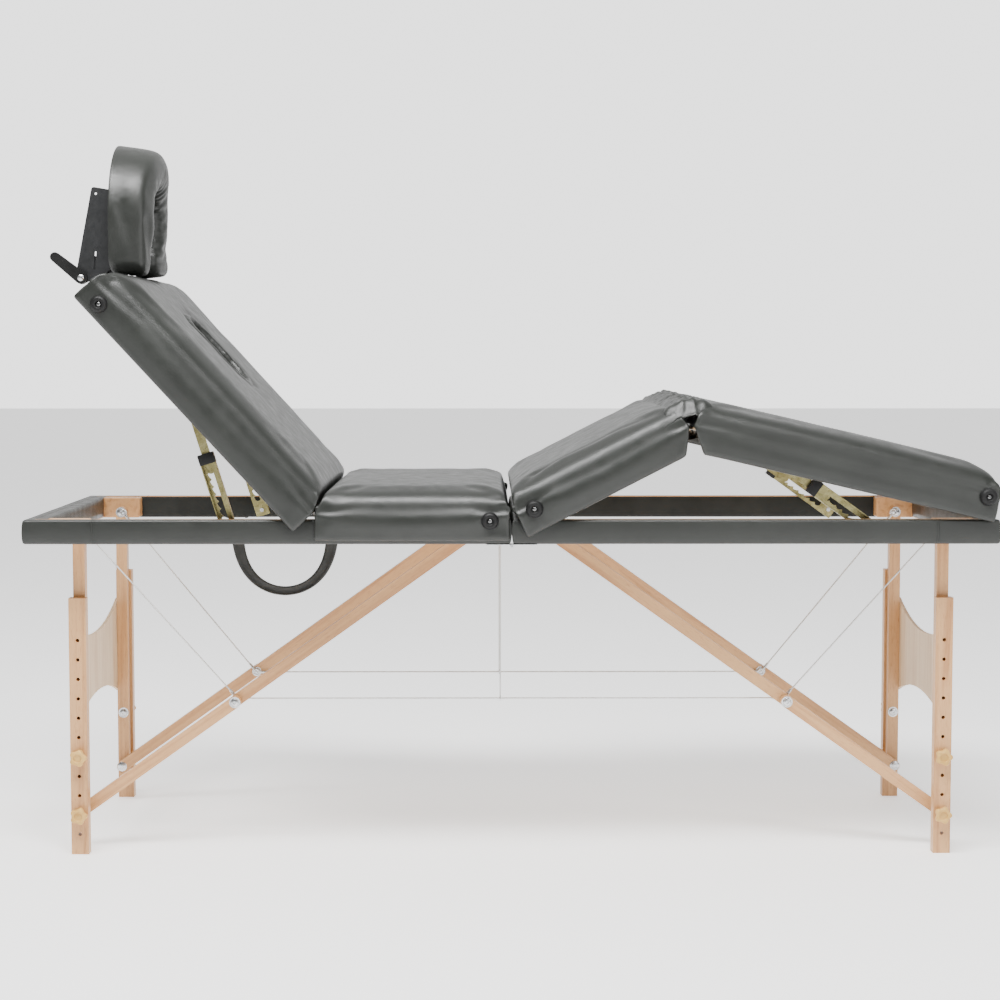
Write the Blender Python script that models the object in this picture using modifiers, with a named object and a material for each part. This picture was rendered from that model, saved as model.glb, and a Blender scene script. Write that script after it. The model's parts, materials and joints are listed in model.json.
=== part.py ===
"""Portable four-section massage table on a folding beech frame.

Metres, +Z up. X runs along the table, with the fold line of the frame at X = 0.
Y = 0 is the middle of the table's width, and Z = 0 is the floor.
The table stands ready for use with its back section raised and its two leg
sections raised into a peak.
"""

from math import asin, atan2, cos, pi, radians, sin, tan

import bmesh
import bpy
from mathutils import Matrix, Vector

SCENE_NAME = "massage_table"
GAP = 0.0003
ROUND_SIDES = 10

# frame: two halves of four rails each, hinged together at X = 0
FRAME_HALF_LENGTH = 0.885
RAIL_OUTER_Y = 0.3265
RAIL_THICK = 0.020
RAIL_INNER_Y = RAIL_OUTER_Y - RAIL_THICK
RAIL_BOTTOM = 0.583
RAIL_TOP = 0.6275
FOLD_GAP = 0.0015
BEAM_BOTTOM = RAIL_BOTTOM + 0.002
BEAM_TOP = RAIL_TOP - 0.001
LEG_BEAM_X = 0.845
LEG_EAR_X = 0.770
LEG_EAR_INNER_Y = 0.270
STRUT_BEAM_X = 0.046
STRUT_EAR_INNER_Y = 0.1948
STRUT_EAR_REACH = 0.034

# sections: board, cushion and hinge line
HINGE_Z = 0.634
BOARD_HALF = 0.006
BOARD_END_INSET = 0.005
BOARD_HALF_WIDTH = 0.3285
CUSHION_HALF_WIDTH = 0.341
APRON_THICK = 0.0115
CUSHION_TOP = 0.048
CUSHION_UNDERSIDE = BOARD_HALF + 0.0006
APRON_DROP = 0.045
CUSHION_END_INSET = 0.0015
END_ROUND = 0.046
BOARD_FAR_INSET = 0.014
JOINT_SLACK = radians(0.6)

BACK_HINGE_X = -0.360
BACK_LENGTH = 0.580
BACK_RAISE = radians(47.3)
THIGH_HINGE_X = 0.006
THIGH_LENGTH = 0.357
THIGH_RAISE = radians(27.2)
CALF_LENGTH = 0.575
CALF_SLOPE = radians(-13.2)
SEAT_END_LEAN = radians(15.2)
THIGH_START_LEAN = radians(12.8)
PEAK_CHAMFER = (THIGH_RAISE - CALF_SLOPE) / 2 + radians(0.4)

# bumpers, as places along the section and above its hinge line
BACK_BUMPER = (0.537, -0.0195)
SEAT_BUMPER = (0.3204, -0.0075)
THIGH_BUMPER = (0.0373, -0.0032)
CALF_BUMPER = (0.5516, -0.0015)

FACE_HOLE_U = 0.362
FACE_HOLE_LENGTH = 0.164
FACE_HOLE_WIDTH = 0.110

# folding legs and their two-part struts
LEG_X = 0.800
LEG_PIVOT_Z = 0.600
LEG_BOLT_Z = 0.074
HOLE_PITCH = 0.0362
UPPER_KNOB_Z = LEG_BOLT_Z + 3 * HOLE_PITCH
UPPER_LEG_HALF = 0.011
UPPER_LEG_END_Z = 0.0555
UPPER_LEG_Y = (0.2195, 0.2420)
LOWER_LEG_HALF = 0.016
LOWER_LEG_TOP = 0.478
LOWER_LEG_Y = (0.2430, 0.2650)
KNOB_HEIGHTS = {"foot": LEG_BOLT_Z, "upper": UPPER_KNOB_Z}
KNOB_HEAD_Y = (0.2714, 0.2834)
HOLE_FIRST_Z = LEG_BOLT_Z - HOLE_PITCH
HOLE_COUNT = 11
HOLE_RADIUS = 0.0035
STRUT_SLOPE = radians(35.5)
STRUT_HALF = 0.011
LOWER_STRUT_Y = (0.1945, 0.2145)
UPPER_STRUT_Y = (0.1720, 0.1920)
PANEL_BOTTOM = 0.226
PANEL_TOP = 0.420
PANEL_DIP = 0.039
PANEL_THICK = 0.006
PIVOT_HOLE = 0.0045

# ratchet stays: a slotted channel on the frame and a bar on the section
STAY_BAR_Y = (0.2678, 0.2704)
STAY_CHANNEL_Y = (0.2708, 0.2838)
STAY_CHANNEL_WIDTH = 0.0285
STAY_CHANNEL_LENGTH = 0.150
STAY_SHEET = 0.0018
STAY_FRAME_Z = 0.601
STAY_BOARD_DROP = 0.022
BACK_STAY_FRAME_X = -0.515
BACK_STAY_U = 0.321
BACK_STAY_BAR = 0.146
CALF_STAY_FRAME_X = 0.669
CALF_STAY_U = 0.164
CALF_STAY_BAR = 0.122
STAY_BAR_HALF = 0.008
STAY_TAIL = 0.012
STAY_SLOT = (0.020, 0.132)
STAY_SLOT_HALF = 0.0035
STAY_TEETH = 8
STAY_TOOTH = 0.0045

# face cradle
CRADLE_PIVOT = (-0.812, 1.070)
CRADLE_BACK_X = -0.746
CRADLE_FRONT_X = -0.668
CRADLE_BOTTOM = 1.079
CRADLE_TOP = 1.324
CRADLE_HALF_WIDTH = 0.140
CRADLE_HOLE_HALF = 0.054
CRADLE_ARM_HALF_GAP = 0.030
CRADLE_BOARD = 0.010
CRADLE_EAR_Y = 0.1080
PRONG_Y = 0.075
PRONG_N = 0.0004
PRONG_RADIUS = 0.0056
PRONG_SPAN = (0.500, 0.6335)
PRONG_NOTCH = (0.490, 0.600)
CROSSBAR_LOW = (0.630, -0.1055, -0.012)
CROSSBAR_HIGH = (0.644, 0.1055, 0.008)
CRADLE_PLATE = 0.003
CRADLE_EAR_ROUND = 0.012
WEB_SPAN_Z = (1.0955, 1.2345)
WEB_WINDOW_HALF = 0.060
WEB_WINDOW_Z = 1.108
PLATE_CORNER = (-0.787, 1.236)
LEVER_TIP = (-0.868, 1.115)
LEVER_EYE = 0.0028

# tension cables
CABLE_RADIUS = 0.0014
CABLE_Y = 0.166
CABLE_TOP_Y = 0.213
CABLE_TOP_Z = 0.594
CABLE_END_INSET = 0.010
DROP_CABLE_X = -0.020
DROP_CABLE_TOP_Z = 0.582

# carry handle
HANDLE_X = (-0.572, -0.371)
HANDLE_Y = RAIL_OUTER_Y - RAIL_THICK / 2
HANDLE_PIVOT_Z = 0.578
HANDLE_BOTTOM_Z = 0.426
STRAP_HALF_WIDTH = 0.0145
GRIP_HALF_WIDTH = 0.010
STRAP_HALF_THICK = 0.004

SIDES = (("near", -1), ("far", 1))
ALONG_Y = Vector((0, 1, 0))
ALONG_Z = Vector((0, 0, 1))


def clear_scene():
    for item in list(bpy.data.objects):
        bpy.data.objects.remove(item, do_unlink=True)


def new_collection(name):
    collection = bpy.data.collections.new(name)
    bpy.context.scene.collection.children.link(collection)
    return collection


def new_material(name, color, roughness, metallic=0.0):
    material = bpy.data.materials.new(name)
    material.use_nodes = True
    shader = material.node_tree.nodes["Principled BSDF"]
    shader.inputs["Base Color"].default_value = (*color, 1.0)
    shader.inputs["Roughness"].default_value = roughness
    shader.inputs["Metallic"].default_value = metallic
    return material


clear_scene()
PARTS = new_collection(SCENE_NAME)
CUTTERS = new_collection("cutters")
VINYL = (0.075, 0.083, 0.078)
BEECH = (0.76, 0.52, 0.33)
FINISHES = {
    "vinyl": (VINYL, 0.42, 0.0),
    "rail_vinyl": (VINYL, 0.45, 0.0),
    "beech": (BEECH, 0.5, 0.0),
    "plywood": ((0.80, 0.66, 0.47), 0.55, 0.0),
    "zinc": ((0.57, 0.53, 0.30), 0.35, 1.0),
    "black_plastic": ((0.02, 0.02, 0.02), 0.5, 0.0),
    "black_metal": ((0.025, 0.027, 0.03), 0.42, 0.0),
    "rubber": ((0.02, 0.02, 0.02), 0.7, 0.0),
    "knob": ((0.80, 0.62, 0.36), 0.4, 0.0),
    "cable": ((0.70, 0.70, 0.68), 0.45, 0.0),
    "webbing": ((0.05, 0.054, 0.052), 0.5, 0.0),
}


# ---------------------------------------------------------------- solid shapes


def at_point(x, y, z):
    return Matrix.Translation((x, y, z))


def add_piece(solid, piece, matrix=None):
    """Adds one closed piece to a node's mesh, with its faces pointing out."""
    if matrix:
        bmesh.ops.transform(piece, matrix=matrix, verts=piece.verts)
    bmesh.ops.recalc_face_normals(piece, faces=piece.faces)
    mesh = bpy.data.meshes.new("piece")
    piece.to_mesh(mesh)
    piece.free()
    solid.from_mesh(mesh)
    bpy.data.meshes.remove(mesh)


def add_box(solid, low, high, matrix=None, bevel=0.0):
    piece = bmesh.new()
    bmesh.ops.create_cube(piece, size=1.0)
    size = [b - a for a, b in zip(low, high)]
    middle = [(a + b) / 2 for a, b in zip(low, high)]
    bmesh.ops.scale(piece, vec=size, verts=piece.verts)
    bmesh.ops.translate(piece, vec=middle, verts=piece.verts)
    if bevel:
        bmesh.ops.bevel(
            piece,
            geom=piece.edges,
            offset=bevel,
            segments=1,
            affect="EDGES",
            profile=0.5,
        )
    add_piece(solid, piece, matrix)


def add_flat(solid, loops, low, high, matrix):
    """A flat outline, with holes, filled and extruded along its local Z from low to high."""
    curve = bpy.data.curves.new("outline", "CURVE")
    curve.dimensions = "2D"
    curve.fill_mode = "BOTH"
    curve.extrude = (high - low) / 2
    for loop in loops:
        spline = curve.splines.new("POLY")
        spline.points.add(len(loop) - 1)
        for point, (x, y) in zip(spline.points, loop):
            point.co = (x, y, 0, 1)
        spline.use_cyclic_u = True
    outline = bpy.data.objects.new("outline", curve)
    CUTTERS.objects.link(outline)
    bpy.context.view_layer.update()
    depsgraph = bpy.context.evaluated_depsgraph_get()
    mesh = bpy.data.meshes.new_from_object(outline.evaluated_get(depsgraph))
    piece = bmesh.new()
    piece.from_mesh(mesh)
    bpy.data.objects.remove(outline, do_unlink=True)
    bpy.data.meshes.remove(mesh)
    bpy.data.curves.remove(curve)
    bmesh.ops.remove_doubles(piece, verts=piece.verts, dist=1e-5)
    middle = (low + high) / 2
    add_piece(solid, piece, matrix @ at_point(0, 0, middle))


def add_turned(solid, profile, matrix, sides=ROUND_SIDES):
    """A profile of (radius, height) points turned about local Z."""
    piece = bmesh.new()
    points = [piece.verts.new((radius, 0, height)) for radius, height in profile]
    edges = [piece.edges.new(pair) for pair in zip(points, points[1:])]
    bmesh.ops.spin(
        piece,
        geom=points + edges,
        cent=(0, 0, 0),
        axis=(0, 0, 1),
        angle=2 * pi,
        steps=sides,
        use_merge=True,
    )
    bmesh.ops.remove_doubles(piece, verts=piece.verts, dist=1e-6)
    add_piece(solid, piece, matrix)


def add_bar(solid, start, end, radius, sides=8):
    """A round bar between two points."""
    run = Vector(end) - Vector(start)
    turn = ALONG_Z.rotation_difference(run).to_matrix().to_4x4()
    middle = Matrix.Translation((Vector(start) + Vector(end)) / 2)
    piece = bmesh.new()
    bmesh.ops.create_cone(
        piece,
        cap_ends=True,
        segments=sides,
        radius1=radius,
        radius2=radius,
        depth=run.length,
    )
    add_piece(solid, piece, middle @ turn)


def arc(center, radius, start, end, count):
    """Points on a circle from angle start to angle end, in degrees."""
    points = []
    for step in range(count + 1):
        angle = radians(start + (end - start) * step / count)
        points.append((center[0] + radius * cos(angle), center[1] + radius * sin(angle)))
    return points


def circle(center, radius, count=12):
    return arc(center, radius, 0, 360, count)[:-1]


def make_node(name, solid, finish, origin=(0, 0, 0)):
    """Turns a node's mesh into a named object with its origin at its joint."""
    bmesh.ops.translate(solid, vec=-Vector(origin), verts=solid.verts)
    mesh = bpy.data.meshes.new(name)
    solid.to_mesh(mesh)
    solid.free()
    mesh.shade_smooth()
    mesh.set_sharp_from_angle(angle=radians(30))
    node = bpy.data.objects.new(name, mesh)
    node.location = origin
    color, roughness, metallic = FINISHES[finish]
    mesh.materials.append(new_material(name, color, roughness, metallic))
    PARTS.objects.link(node)
    return node


def make_cutter(name, solid):
    mesh = bpy.data.meshes.new(name)
    solid.to_mesh(mesh)
    solid.free()
    cutter = bpy.data.objects.new(name, mesh)
    cutter.hide_render = True
    cutter.display_type = "WIRE"
    CUTTERS.objects.link(cutter)
    return cutter


def combine(node, other, operation):
    modifier = node.modifiers.new(other.name, "BOOLEAN")
    modifier.operation = operation
    modifier.solver = "EXACT"
    modifier.object = other


def cut(node, cutter):
    combine(node, cutter, "DIFFERENCE")


def join(node, extra):
    combine(node, extra, "UNION")


def round_edges(node, width):
    modifier = node.modifiers.new("round_edges", "BEVEL")
    modifier.width = width
    modifier.segments = 1
    modifier.limit_method = "ANGLE"
    modifier.angle_limit = radians(40)


# ------------------------------------------------------------ places and frames


def upright():
    """Local X and Y become world X and Z, and local Z becomes world -Y."""
    return Matrix(((1, 0, 0, 0), (0, 0, -1, 0), (0, 1, 0, 0), (0, 0, 0, 1)))


def across(side, near, far):
    """The span from |Y| near to |Y| far as heights along world -Y."""
    return (near, far) if side < 0 else (-far, -near)


def outward(side, x, z, y):
    """Local Z points away from the middle plane, starting at |Y| = y."""
    turn = ALONG_Z.rotation_difference(ALONG_Y * side).to_matrix().to_4x4()
    return at_point(x, side * y, z) @ turn


def section_frame(pivot, run):
    """Columns are along the section, across it, and up out of its cushion."""
    along = Vector((run[0], 0, run[1])).normalized()
    up = Vector((-along.z, 0, along.x))
    if up.z < 0:
        up.negate()
    side = up.cross(along)
    columns = Matrix((along, side, up)).transposed().to_4x4()
    return at_point(pivot[0], 0, pivot[1]) @ columns


def profile_frame(frame):
    """Local X and Y lie along and up out of the section, and Z lies across it."""
    return frame @ Matrix(((1, 0, 0, 0), (0, 0, -1, 0), (0, 1, 0, 0), (0, 0, 0, 1)))


BACK = section_frame((BACK_HINGE_X, HINGE_Z), (-cos(BACK_RAISE), sin(BACK_RAISE)))
SEAT = section_frame((BACK_HINGE_X, HINGE_Z), (1, 0))
THIGH = section_frame((THIGH_HINGE_X, HINGE_Z), (cos(THIGH_RAISE), sin(THIGH_RAISE)))
PEAK = THIGH @ Vector((THIGH_LENGTH, 0, 0))
CALF = section_frame((PEAK.x, PEAK.z), (cos(CALF_SLOPE), sin(CALF_SLOPE)))


# ------------------------------------------------------------------------ frame


def rectangle(low_x, high_x, half_y):
    return [(low_x, -half_y), (high_x, -half_y), (high_x, half_y), (low_x, half_y)]


def mirrored(points, sign):
    return [(sign * x, y) for x, y in points]


def make_rails(half, sign):
    """The wrapped rails of one half, joined into a rectangle."""
    rails = bmesh.new()
    outer = rectangle(FOLD_GAP, FRAME_HALF_LENGTH, RAIL_OUTER_Y)
    start, end = FOLD_GAP + RAIL_THICK, FRAME_HALF_LENGTH - RAIL_THICK
    inner = rectangle(start, end, RAIL_INNER_Y)
    loops = [mirrored(outer, sign), mirrored(inner, sign)]
    add_flat(rails, loops, RAIL_BOTTOM, RAIL_TOP, at_point(0, 0, 0))
    node = make_node(half + "_frame_rails", rails, "rail_vinyl")
    round_edges(node, 0.0025)


STRUT_SPAN = (LEG_PIVOT_Z - LEG_BOLT_Z) / sin(STRUT_SLOPE)
STRUT_FRAME_X = LEG_X - (LEG_PIVOT_Z - LEG_BOLT_Z) / tan(STRUT_SLOPE)
# the two strut parts lie flat together when the leg has turned by a quarter turn
FOLDED_SPAN = LEG_X - STRUT_FRAME_X - (LEG_PIVOT_Z - LEG_BOLT_Z)
LOWER_STRUT = (STRUT_SPAN - FOLDED_SPAN) / 2
UPPER_STRUT = STRUT_SPAN - LOWER_STRUT
STRUT_JOINT = (
    LEG_X - LOWER_STRUT * cos(STRUT_SLOPE),
    LEG_BOLT_Z + LOWER_STRUT * sin(STRUT_SLOPE),
)


def beam_outline(edge, inner, ear, ear_y):
    """Top view of a cross beam from X edge to inner, with an ear to X ear at each side."""
    reach = RAIL_INNER_Y - GAP
    return [
        (edge, -reach),
        (ear, -reach),
        (ear, -ear_y),
        (inner, -ear_y),
        (inner, ear_y),
        (ear, ear_y),
        (ear, reach),
        (edge, reach),
    ]


def make_beams(half, sign):
    """Beech cross beams inside the rails; their ears carry the legs and the struts."""
    edge = FRAME_HALF_LENGTH - RAIL_THICK - GAP
    legs = beam_outline(edge, LEG_BEAM_X, LEG_EAR_X, LEG_EAR_INNER_Y)
    edge = FOLD_GAP + RAIL_THICK + GAP
    ear = STRUT_FRAME_X + STRUT_EAR_REACH
    struts = beam_outline(edge, STRUT_BEAM_X, ear, STRUT_EAR_INNER_Y)
    for label, outline in (("_leg_beam", legs), ("_strut_beam", struts)):
        beam = bmesh.new()
        place = at_point(0, 0, 0)
        add_flat(beam, [mirrored(outline, sign)], BEAM_BOTTOM, BEAM_TOP, place)
        node = make_node(half + label, beam, "beech")
        round_edges(node, 0.002)


# -------------------------------------------------------------------- sections


def cushion_outline(length, start_lean, end_lean, start_chamfer, end_chamfer, end_round):
    """Side view of a cushion with its aprons, its hinge line at height 0.

    A lean cuts the end back above the hinge line, and a chamfer cuts it back below.
    """
    start = CUSHION_END_INSET
    end = length - (0 if end_round else CUSHION_END_INSET)
    top, bottom = CUSHION_TOP, -APRON_DROP
    points = [(start, 0)]
    points.append((start + top * tan(start_lean), top))
    if end_round:
        points += arc((end - end_round, top - end_round), end_round, 90, 0, 5)
        points.append((end, bottom))
    else:
        points.append((end - top * tan(end_lean), top))
        points.append((end, 0))
        points.append((end + bottom * tan(end_chamfer), bottom))
    points.append((start - bottom * tan(start_chamfer), bottom))
    return points


def make_cushion(name, frame, outline, origin):
    """An upholstered pad with aprons that hang outside the rails."""
    pad = bmesh.new()
    half = CUSHION_HALF_WIDTH
    add_flat(pad, [outline], -half, half, profile_frame(frame))
    node = make_node(name, pad, "vinyl", origin)
    inside = bmesh.new()
    half = CUSHION_HALF_WIDTH - APRON_THICK
    add_box(inside, (-0.05, -half, -0.1), (0.65, half, CUSHION_UNDERSIDE), frame)
    cut(node, make_cutter(name + "_inside", inside))
    return node


def racetrack(center, length, width, count=7):
    """A long hole with round ends, along local X."""
    reach = length / 2 - width / 2
    right = arc((center + reach, 0), width / 2, -90, 90, count)
    left = arc((center - reach, 0), width / 2, 90, 270, count)
    return right + left


def make_board(name, frame, length, origin, end_inset=BOARD_END_INSET, holes=()):
    board = bmesh.new()
    start, end = BOARD_END_INSET, length - end_inset
    half = BOARD_HALF_WIDTH
    outline = [(start, -half), (end, -half), (end, half), (start, half)]
    add_flat(board, [outline, *holes], -BOARD_HALF, BOARD_HALF, frame)
    return make_node(name, board, "plywood", origin)


def make_bumper(name, frame, spot, origin):
    """A round rubber bumper with a recessed screw seat, on the near apron."""
    place = frame @ Vector((spot[0], 0, spot[1]))
    profile = [
        (0, 0),
        (0.0150, 0),
        (0.0150, 0.0060),
        (0.0125, 0.0095),
        (0.0050, 0.0095),
        (0.0040, 0.0060),
        (0, 0.0060),
    ]
    bumper = bmesh.new()
    side = outward(-1, place.x, place.z, CUSHION_HALF_WIDTH + GAP)
    add_turned(bumper, profile, side, sides=14)
    make_node(name, bumper, "rubber", origin)


def make_notches():
    """Two slots in the end of the back board, which take the cradle's prongs."""
    notches = bmesh.new()
    start, end = PRONG_NOTCH
    half = PRONG_RADIUS + 2 * GAP
    for y in (-PRONG_Y, PRONG_Y):
        low, high = (start, y - half, -0.02), (end, y + half, 0.02)
        add_box(notches, low, high, BACK)
    return notches


def make_back():
    origin = (BACK_HINGE_X, 0, HINGE_Z)
    hole = racetrack(FACE_HOLE_U, FACE_HOLE_LENGTH, FACE_HOLE_WIDTH)
    board = make_board("back_board", BACK, BACK_LENGTH, origin, BOARD_FAR_INSET, [hole])
    cut(board, make_cutter("prong_notches", make_notches()))
    lean = BACK_RAISE / 2 + JOINT_SLACK
    outline = cushion_outline(BACK_LENGTH, lean, 0, 0, 0, END_ROUND)
    cushion = make_cushion("back_cushion", BACK, outline, origin)
    cutter = bmesh.new()
    add_flat(cutter, [hole], -0.02, 0.08, BACK)
    cut(cushion, make_cutter("face_hole", cutter))
    make_bumper("back_bumper", BACK, BACK_BUMPER, origin)


def make_seat():
    make_board("seat_board", SEAT, -BACK_HINGE_X - FOLD_GAP, (0, 0, 0))
    lean = BACK_RAISE / 2 + JOINT_SLACK
    outline = cushion_outline(-BACK_HINGE_X, lean, SEAT_END_LEAN, 0, 0, 0)
    make_cushion("seat_cushion", SEAT, outline, (0, 0, 0))
    make_bumper("seat_bumper", SEAT, SEAT_BUMPER, (0, 0, 0))


def make_thigh():
    origin = (THIGH_HINGE_X, 0, HINGE_Z)
    make_board("thigh_board", THIGH, THIGH_LENGTH, origin)
    outline = cushion_outline(THIGH_LENGTH, THIGH_START_LEAN, 0, 0, PEAK_CHAMFER, 0)
    make_cushion("thigh_cushion", THIGH, outline, origin)
    make_bumper("thigh_bumper", THIGH, THIGH_BUMPER, origin)


def make_calf():
    origin = tuple(PEAK)
    make_board("calf_board", CALF, CALF_LENGTH, origin, BOARD_FAR_INSET)
    outline = cushion_outline(CALF_LENGTH, 0, 0, PEAK_CHAMFER, 0, END_ROUND)
    make_cushion("calf_cushion", CALF, outline, origin)
    make_bumper("calf_bumper", CALF, CALF_BUMPER, origin)


# ------------------------------------------------------------------------ stays


def channel_slot(start, end, half, teeth, depth):
    """A slot along local X with saw teeth along its upper edge."""
    points = [(start, -half), (end, -half), (end, half)]
    pitch = (end - start) / teeth
    for index in range(teeth):
        foot = end - index * pitch
        points += [(foot - 0.002, half), (foot - 0.35 * pitch, half + depth)]
        points.append((foot - pitch + 0.0025, half + depth * 0.6))
    points.append((start, half))
    return points


def stay_direction(frame, u, frame_x):
    place = frame @ Vector((u, 0, -STAY_BOARD_DROP))
    run = Vector((place.x - frame_x, 0, place.z - STAY_FRAME_Z))
    return place, run.normalized()


def make_stay(prefix, section, u, frame_x, bar_length):
    """Ratchet stays, near and far: a channel on the frame and a bar on the section."""
    place, run = stay_direction(section, u, frame_x)
    turn = Matrix.Rotation(-atan2(run.z, run.x), 4, "Y")
    channel_frame = at_point(frame_x, 0, STAY_FRAME_Z) @ turn
    bar_frame = at_point(*place) @ turn
    half = STAY_CHANNEL_WIDTH / 2
    length = STAY_CHANNEL_LENGTH
    sheet = STAY_SHEET
    for label, side in SIDES:
        start, end = across(side, *STAY_CHANNEL_Y)
        tail = -STAY_TAIL
        outline = [(tail, -half), (length, -half), (length, half), (tail, half)]
        hole = circle((0, 0), PIVOT_HOLE, 10)
        slot = channel_slot(*STAY_SLOT, STAY_SLOT_HALF, STAY_TEETH, STAY_TOOTH)
        channel = bmesh.new()
        add_flat(channel, [outline, hole, slot], start, end, channel_frame @ upright())
        origin = (frame_x, 0, STAY_FRAME_Z)
        name = f"{prefix}_stay_channel_{label}"
        node = make_node(name, channel, "zinc", origin)
        hollow = across(side, STAY_CHANNEL_Y[0] + sheet, STAY_CHANNEL_Y[1] + 0.01)
        low = (-0.03, -hollow[1], -half + sheet)
        high = (length + 0.03, -hollow[0], half - sheet)
        inside = bmesh.new()
        add_box(inside, low, high, channel_frame)
        cut(node, make_cutter(name + "_inside", inside))
        start, end = across(side, *STAY_BAR_Y)
        outline = arc((0, 0), STAY_BAR_HALF, -90, 90, 6)
        outline += arc((-bar_length, 0), STAY_BAR_HALF, 90, 270, 6)
        bar = bmesh.new()
        add_flat(bar, [outline, hole], start, end, bar_frame @ upright())
        make_node(f"{prefix}_stay_bar_{label}", bar, "zinc", tuple(place))


# ------------------------------------------------------------------------- legs


def make_upper_leg(half, sign, label, side):
    outline = arc((0, 0), UPPER_LEG_HALF, 0, 180, 8)
    bottom = UPPER_LEG_END_Z - LEG_PIVOT_Z
    outline += [(-UPPER_LEG_HALF, bottom), (UPPER_LEG_HALF, bottom)]
    loops = [outline, circle((0, 0), PIVOT_HOLE, 10)]
    for height in KNOB_HEIGHTS.values():
        loops.append(circle((0, height - LEG_PIVOT_Z), HOLE_RADIUS, 8))
    place = at_point(sign * LEG_X, 0, LEG_PIVOT_Z) @ upright()
    leg = bmesh.new()
    add_flat(leg, loops, *across(side, *UPPER_LEG_Y), place)
    origin = (sign * LEG_X, 0, LEG_PIVOT_Z)
    make_node(f"{half}_upper_leg_{label}", leg, "beech", origin)


def make_leg_panel(half, sign):
    """The plywood panel across a leg pair, with concave top and bottom edges."""
    reach = UPPER_LEG_Y[1] - 0.0005
    sagitta = PANEL_DIP
    radius = (reach**2 + sagitta**2) / (2 * sagitta)
    spread = 90 - 180 / pi * asin((radius - sagitta) / radius)
    top = arc((0, PANEL_TOP - sagitta + radius), radius, -90 + spread, -90 - spread, 14)
    low = arc((0, PANEL_BOTTOM + sagitta - radius), radius, 90 + spread, 90 - spread, 14)
    panel = bmesh.new()
    face = sign * (LEG_X + UPPER_LEG_HALF + GAP)
    # local X becomes world Y and local Y becomes world Z
    turn = Matrix(((0, 0, 1, 0), (1, 0, 0, 0), (0, 1, 0, 0), (0, 0, 0, 1)))
    start, end = sorted((face, face + sign * PANEL_THICK))
    add_flat(panel, [top + low], start, end, turn)
    origin = (sign * LEG_X, 0, LEG_PIVOT_Z)
    make_node(half + "_leg_panel", panel, "plywood", origin)


def make_struts(half, sign, label, side):
    """The lower strut, on the leg, and the upper strut, on the frame."""
    foot = Vector((sign * LEG_X, LEG_BOLT_Z))
    knee = Vector((sign * STRUT_JOINT[0], STRUT_JOINT[1]))
    head = Vector((sign * STRUT_FRAME_X, LEG_PIVOT_Z))
    pieces = (("lower", foot, LOWER_STRUT_Y), ("upper", head, UPPER_STRUT_Y))
    for name, start, span in pieces:
        run = knee - start
        turn = Matrix.Rotation(-atan2(run.y, run.x), 4, "Y")
        place = at_point(start.x, 0, start.y) @ turn @ upright()
        outline = arc((0, 0), STRUT_HALF, 90, 270, 6)
        outline += arc((run.length, 0), STRUT_HALF, -90, 90, 6)
        holes = [circle((0, 0), PIVOT_HOLE, 10)]
        holes.append(circle((run.length, 0), PIVOT_HOLE, 10))
        strut = bmesh.new()
        add_flat(strut, [outline, *holes], *across(side, *span), place)
        origin = (start.x, 0, start.y)
        make_node(f"{half}_{name}_strut_{label}", strut, "beech", origin)


def make_lower_leg(half, sign, label, side):
    """A sliding lower leg with its row of height holes."""
    half_width = LOWER_LEG_HALF
    outline = [(-half_width, 0), (half_width, 0)]
    outline += [(half_width, LOWER_LEG_TOP), (-half_width, LOWER_LEG_TOP)]
    holes = []
    for index in range(HOLE_COUNT):
        height = HOLE_FIRST_Z + index * HOLE_PITCH
        holes.append(circle((0, height), HOLE_RADIUS, 8))
    leg = bmesh.new()
    start, end = across(side, *LOWER_LEG_Y)
    place = at_point(sign * LEG_X, 0, 0) @ upright()
    add_flat(leg, [outline, *holes], start, end, place)
    origin = (sign * LEG_X, 0, 0)
    make_node(f"{half}_lower_leg_{label}", leg, "beech", origin)


KNOB_LOBES = 5
KNOB_REACH = 0.0165


def knob_outline():
    points = []
    count = KNOB_LOBES * 6
    for step in range(count):
        angle = 2 * pi * step / count
        radius = KNOB_REACH - 0.0035 * (1 - cos(KNOB_LOBES * angle)) / 2
        points.append((radius * cos(angle), radius * sin(angle)))
    return points


def make_knob(half, sign, level, label, side):
    """A star knob outside a lower leg, on the bolt line that clamps the two leg parts."""
    height = KNOB_HEIGHTS[level]
    place = at_point(sign * LEG_X, 0, height) @ upright()
    knob = bmesh.new()
    add_flat(knob, [knob_outline()], *across(side, *KNOB_HEAD_Y), place)
    origin = (sign * LEG_X, 0, height)
    name = f"{half}_{level}_knob_{label}"
    node = make_node(name, knob, "knob", origin)
    boss = bmesh.new()
    start = LOWER_LEG_Y[1] + GAP
    depth = KNOB_HEAD_Y[0] + 0.002 - start
    profile = [(0, 0), (0.009, 0), (0.009, depth), (0, depth)]
    add_turned(boss, profile, outward(side, sign * LEG_X, height, start))
    join(node, make_cutter(name + "_boss", boss))


# ----------------------------------------------------------------------- cables


def add_cable(solid, points):
    curve = bpy.data.curves.new("cable", "CURVE")
    curve.dimensions = "3D"
    curve.bevel_depth = CABLE_RADIUS
    curve.bevel_resolution = 2
    curve.use_fill_caps = True
    spline = curve.splines.new("POLY")
    spline.points.add(len(points) - 1)
    for point, place in zip(spline.points, points):
        point.co = (*place, 1)
    cord = bpy.data.objects.new("cable", curve)
    CUTTERS.objects.link(cord)
    bpy.context.view_layer.update()
    depsgraph = bpy.context.evaluated_depsgraph_get()
    mesh = bpy.data.meshes.new_from_object(cord.evaluated_get(depsgraph))
    piece = bmesh.new()
    piece.from_mesh(mesh)
    bpy.data.objects.remove(cord, do_unlink=True)
    bpy.data.meshes.remove(mesh)
    bpy.data.curves.remove(curve)
    bmesh.ops.remove_doubles(piece, verts=piece.verts, dist=1e-5)
    add_piece(solid, piece)


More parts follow.
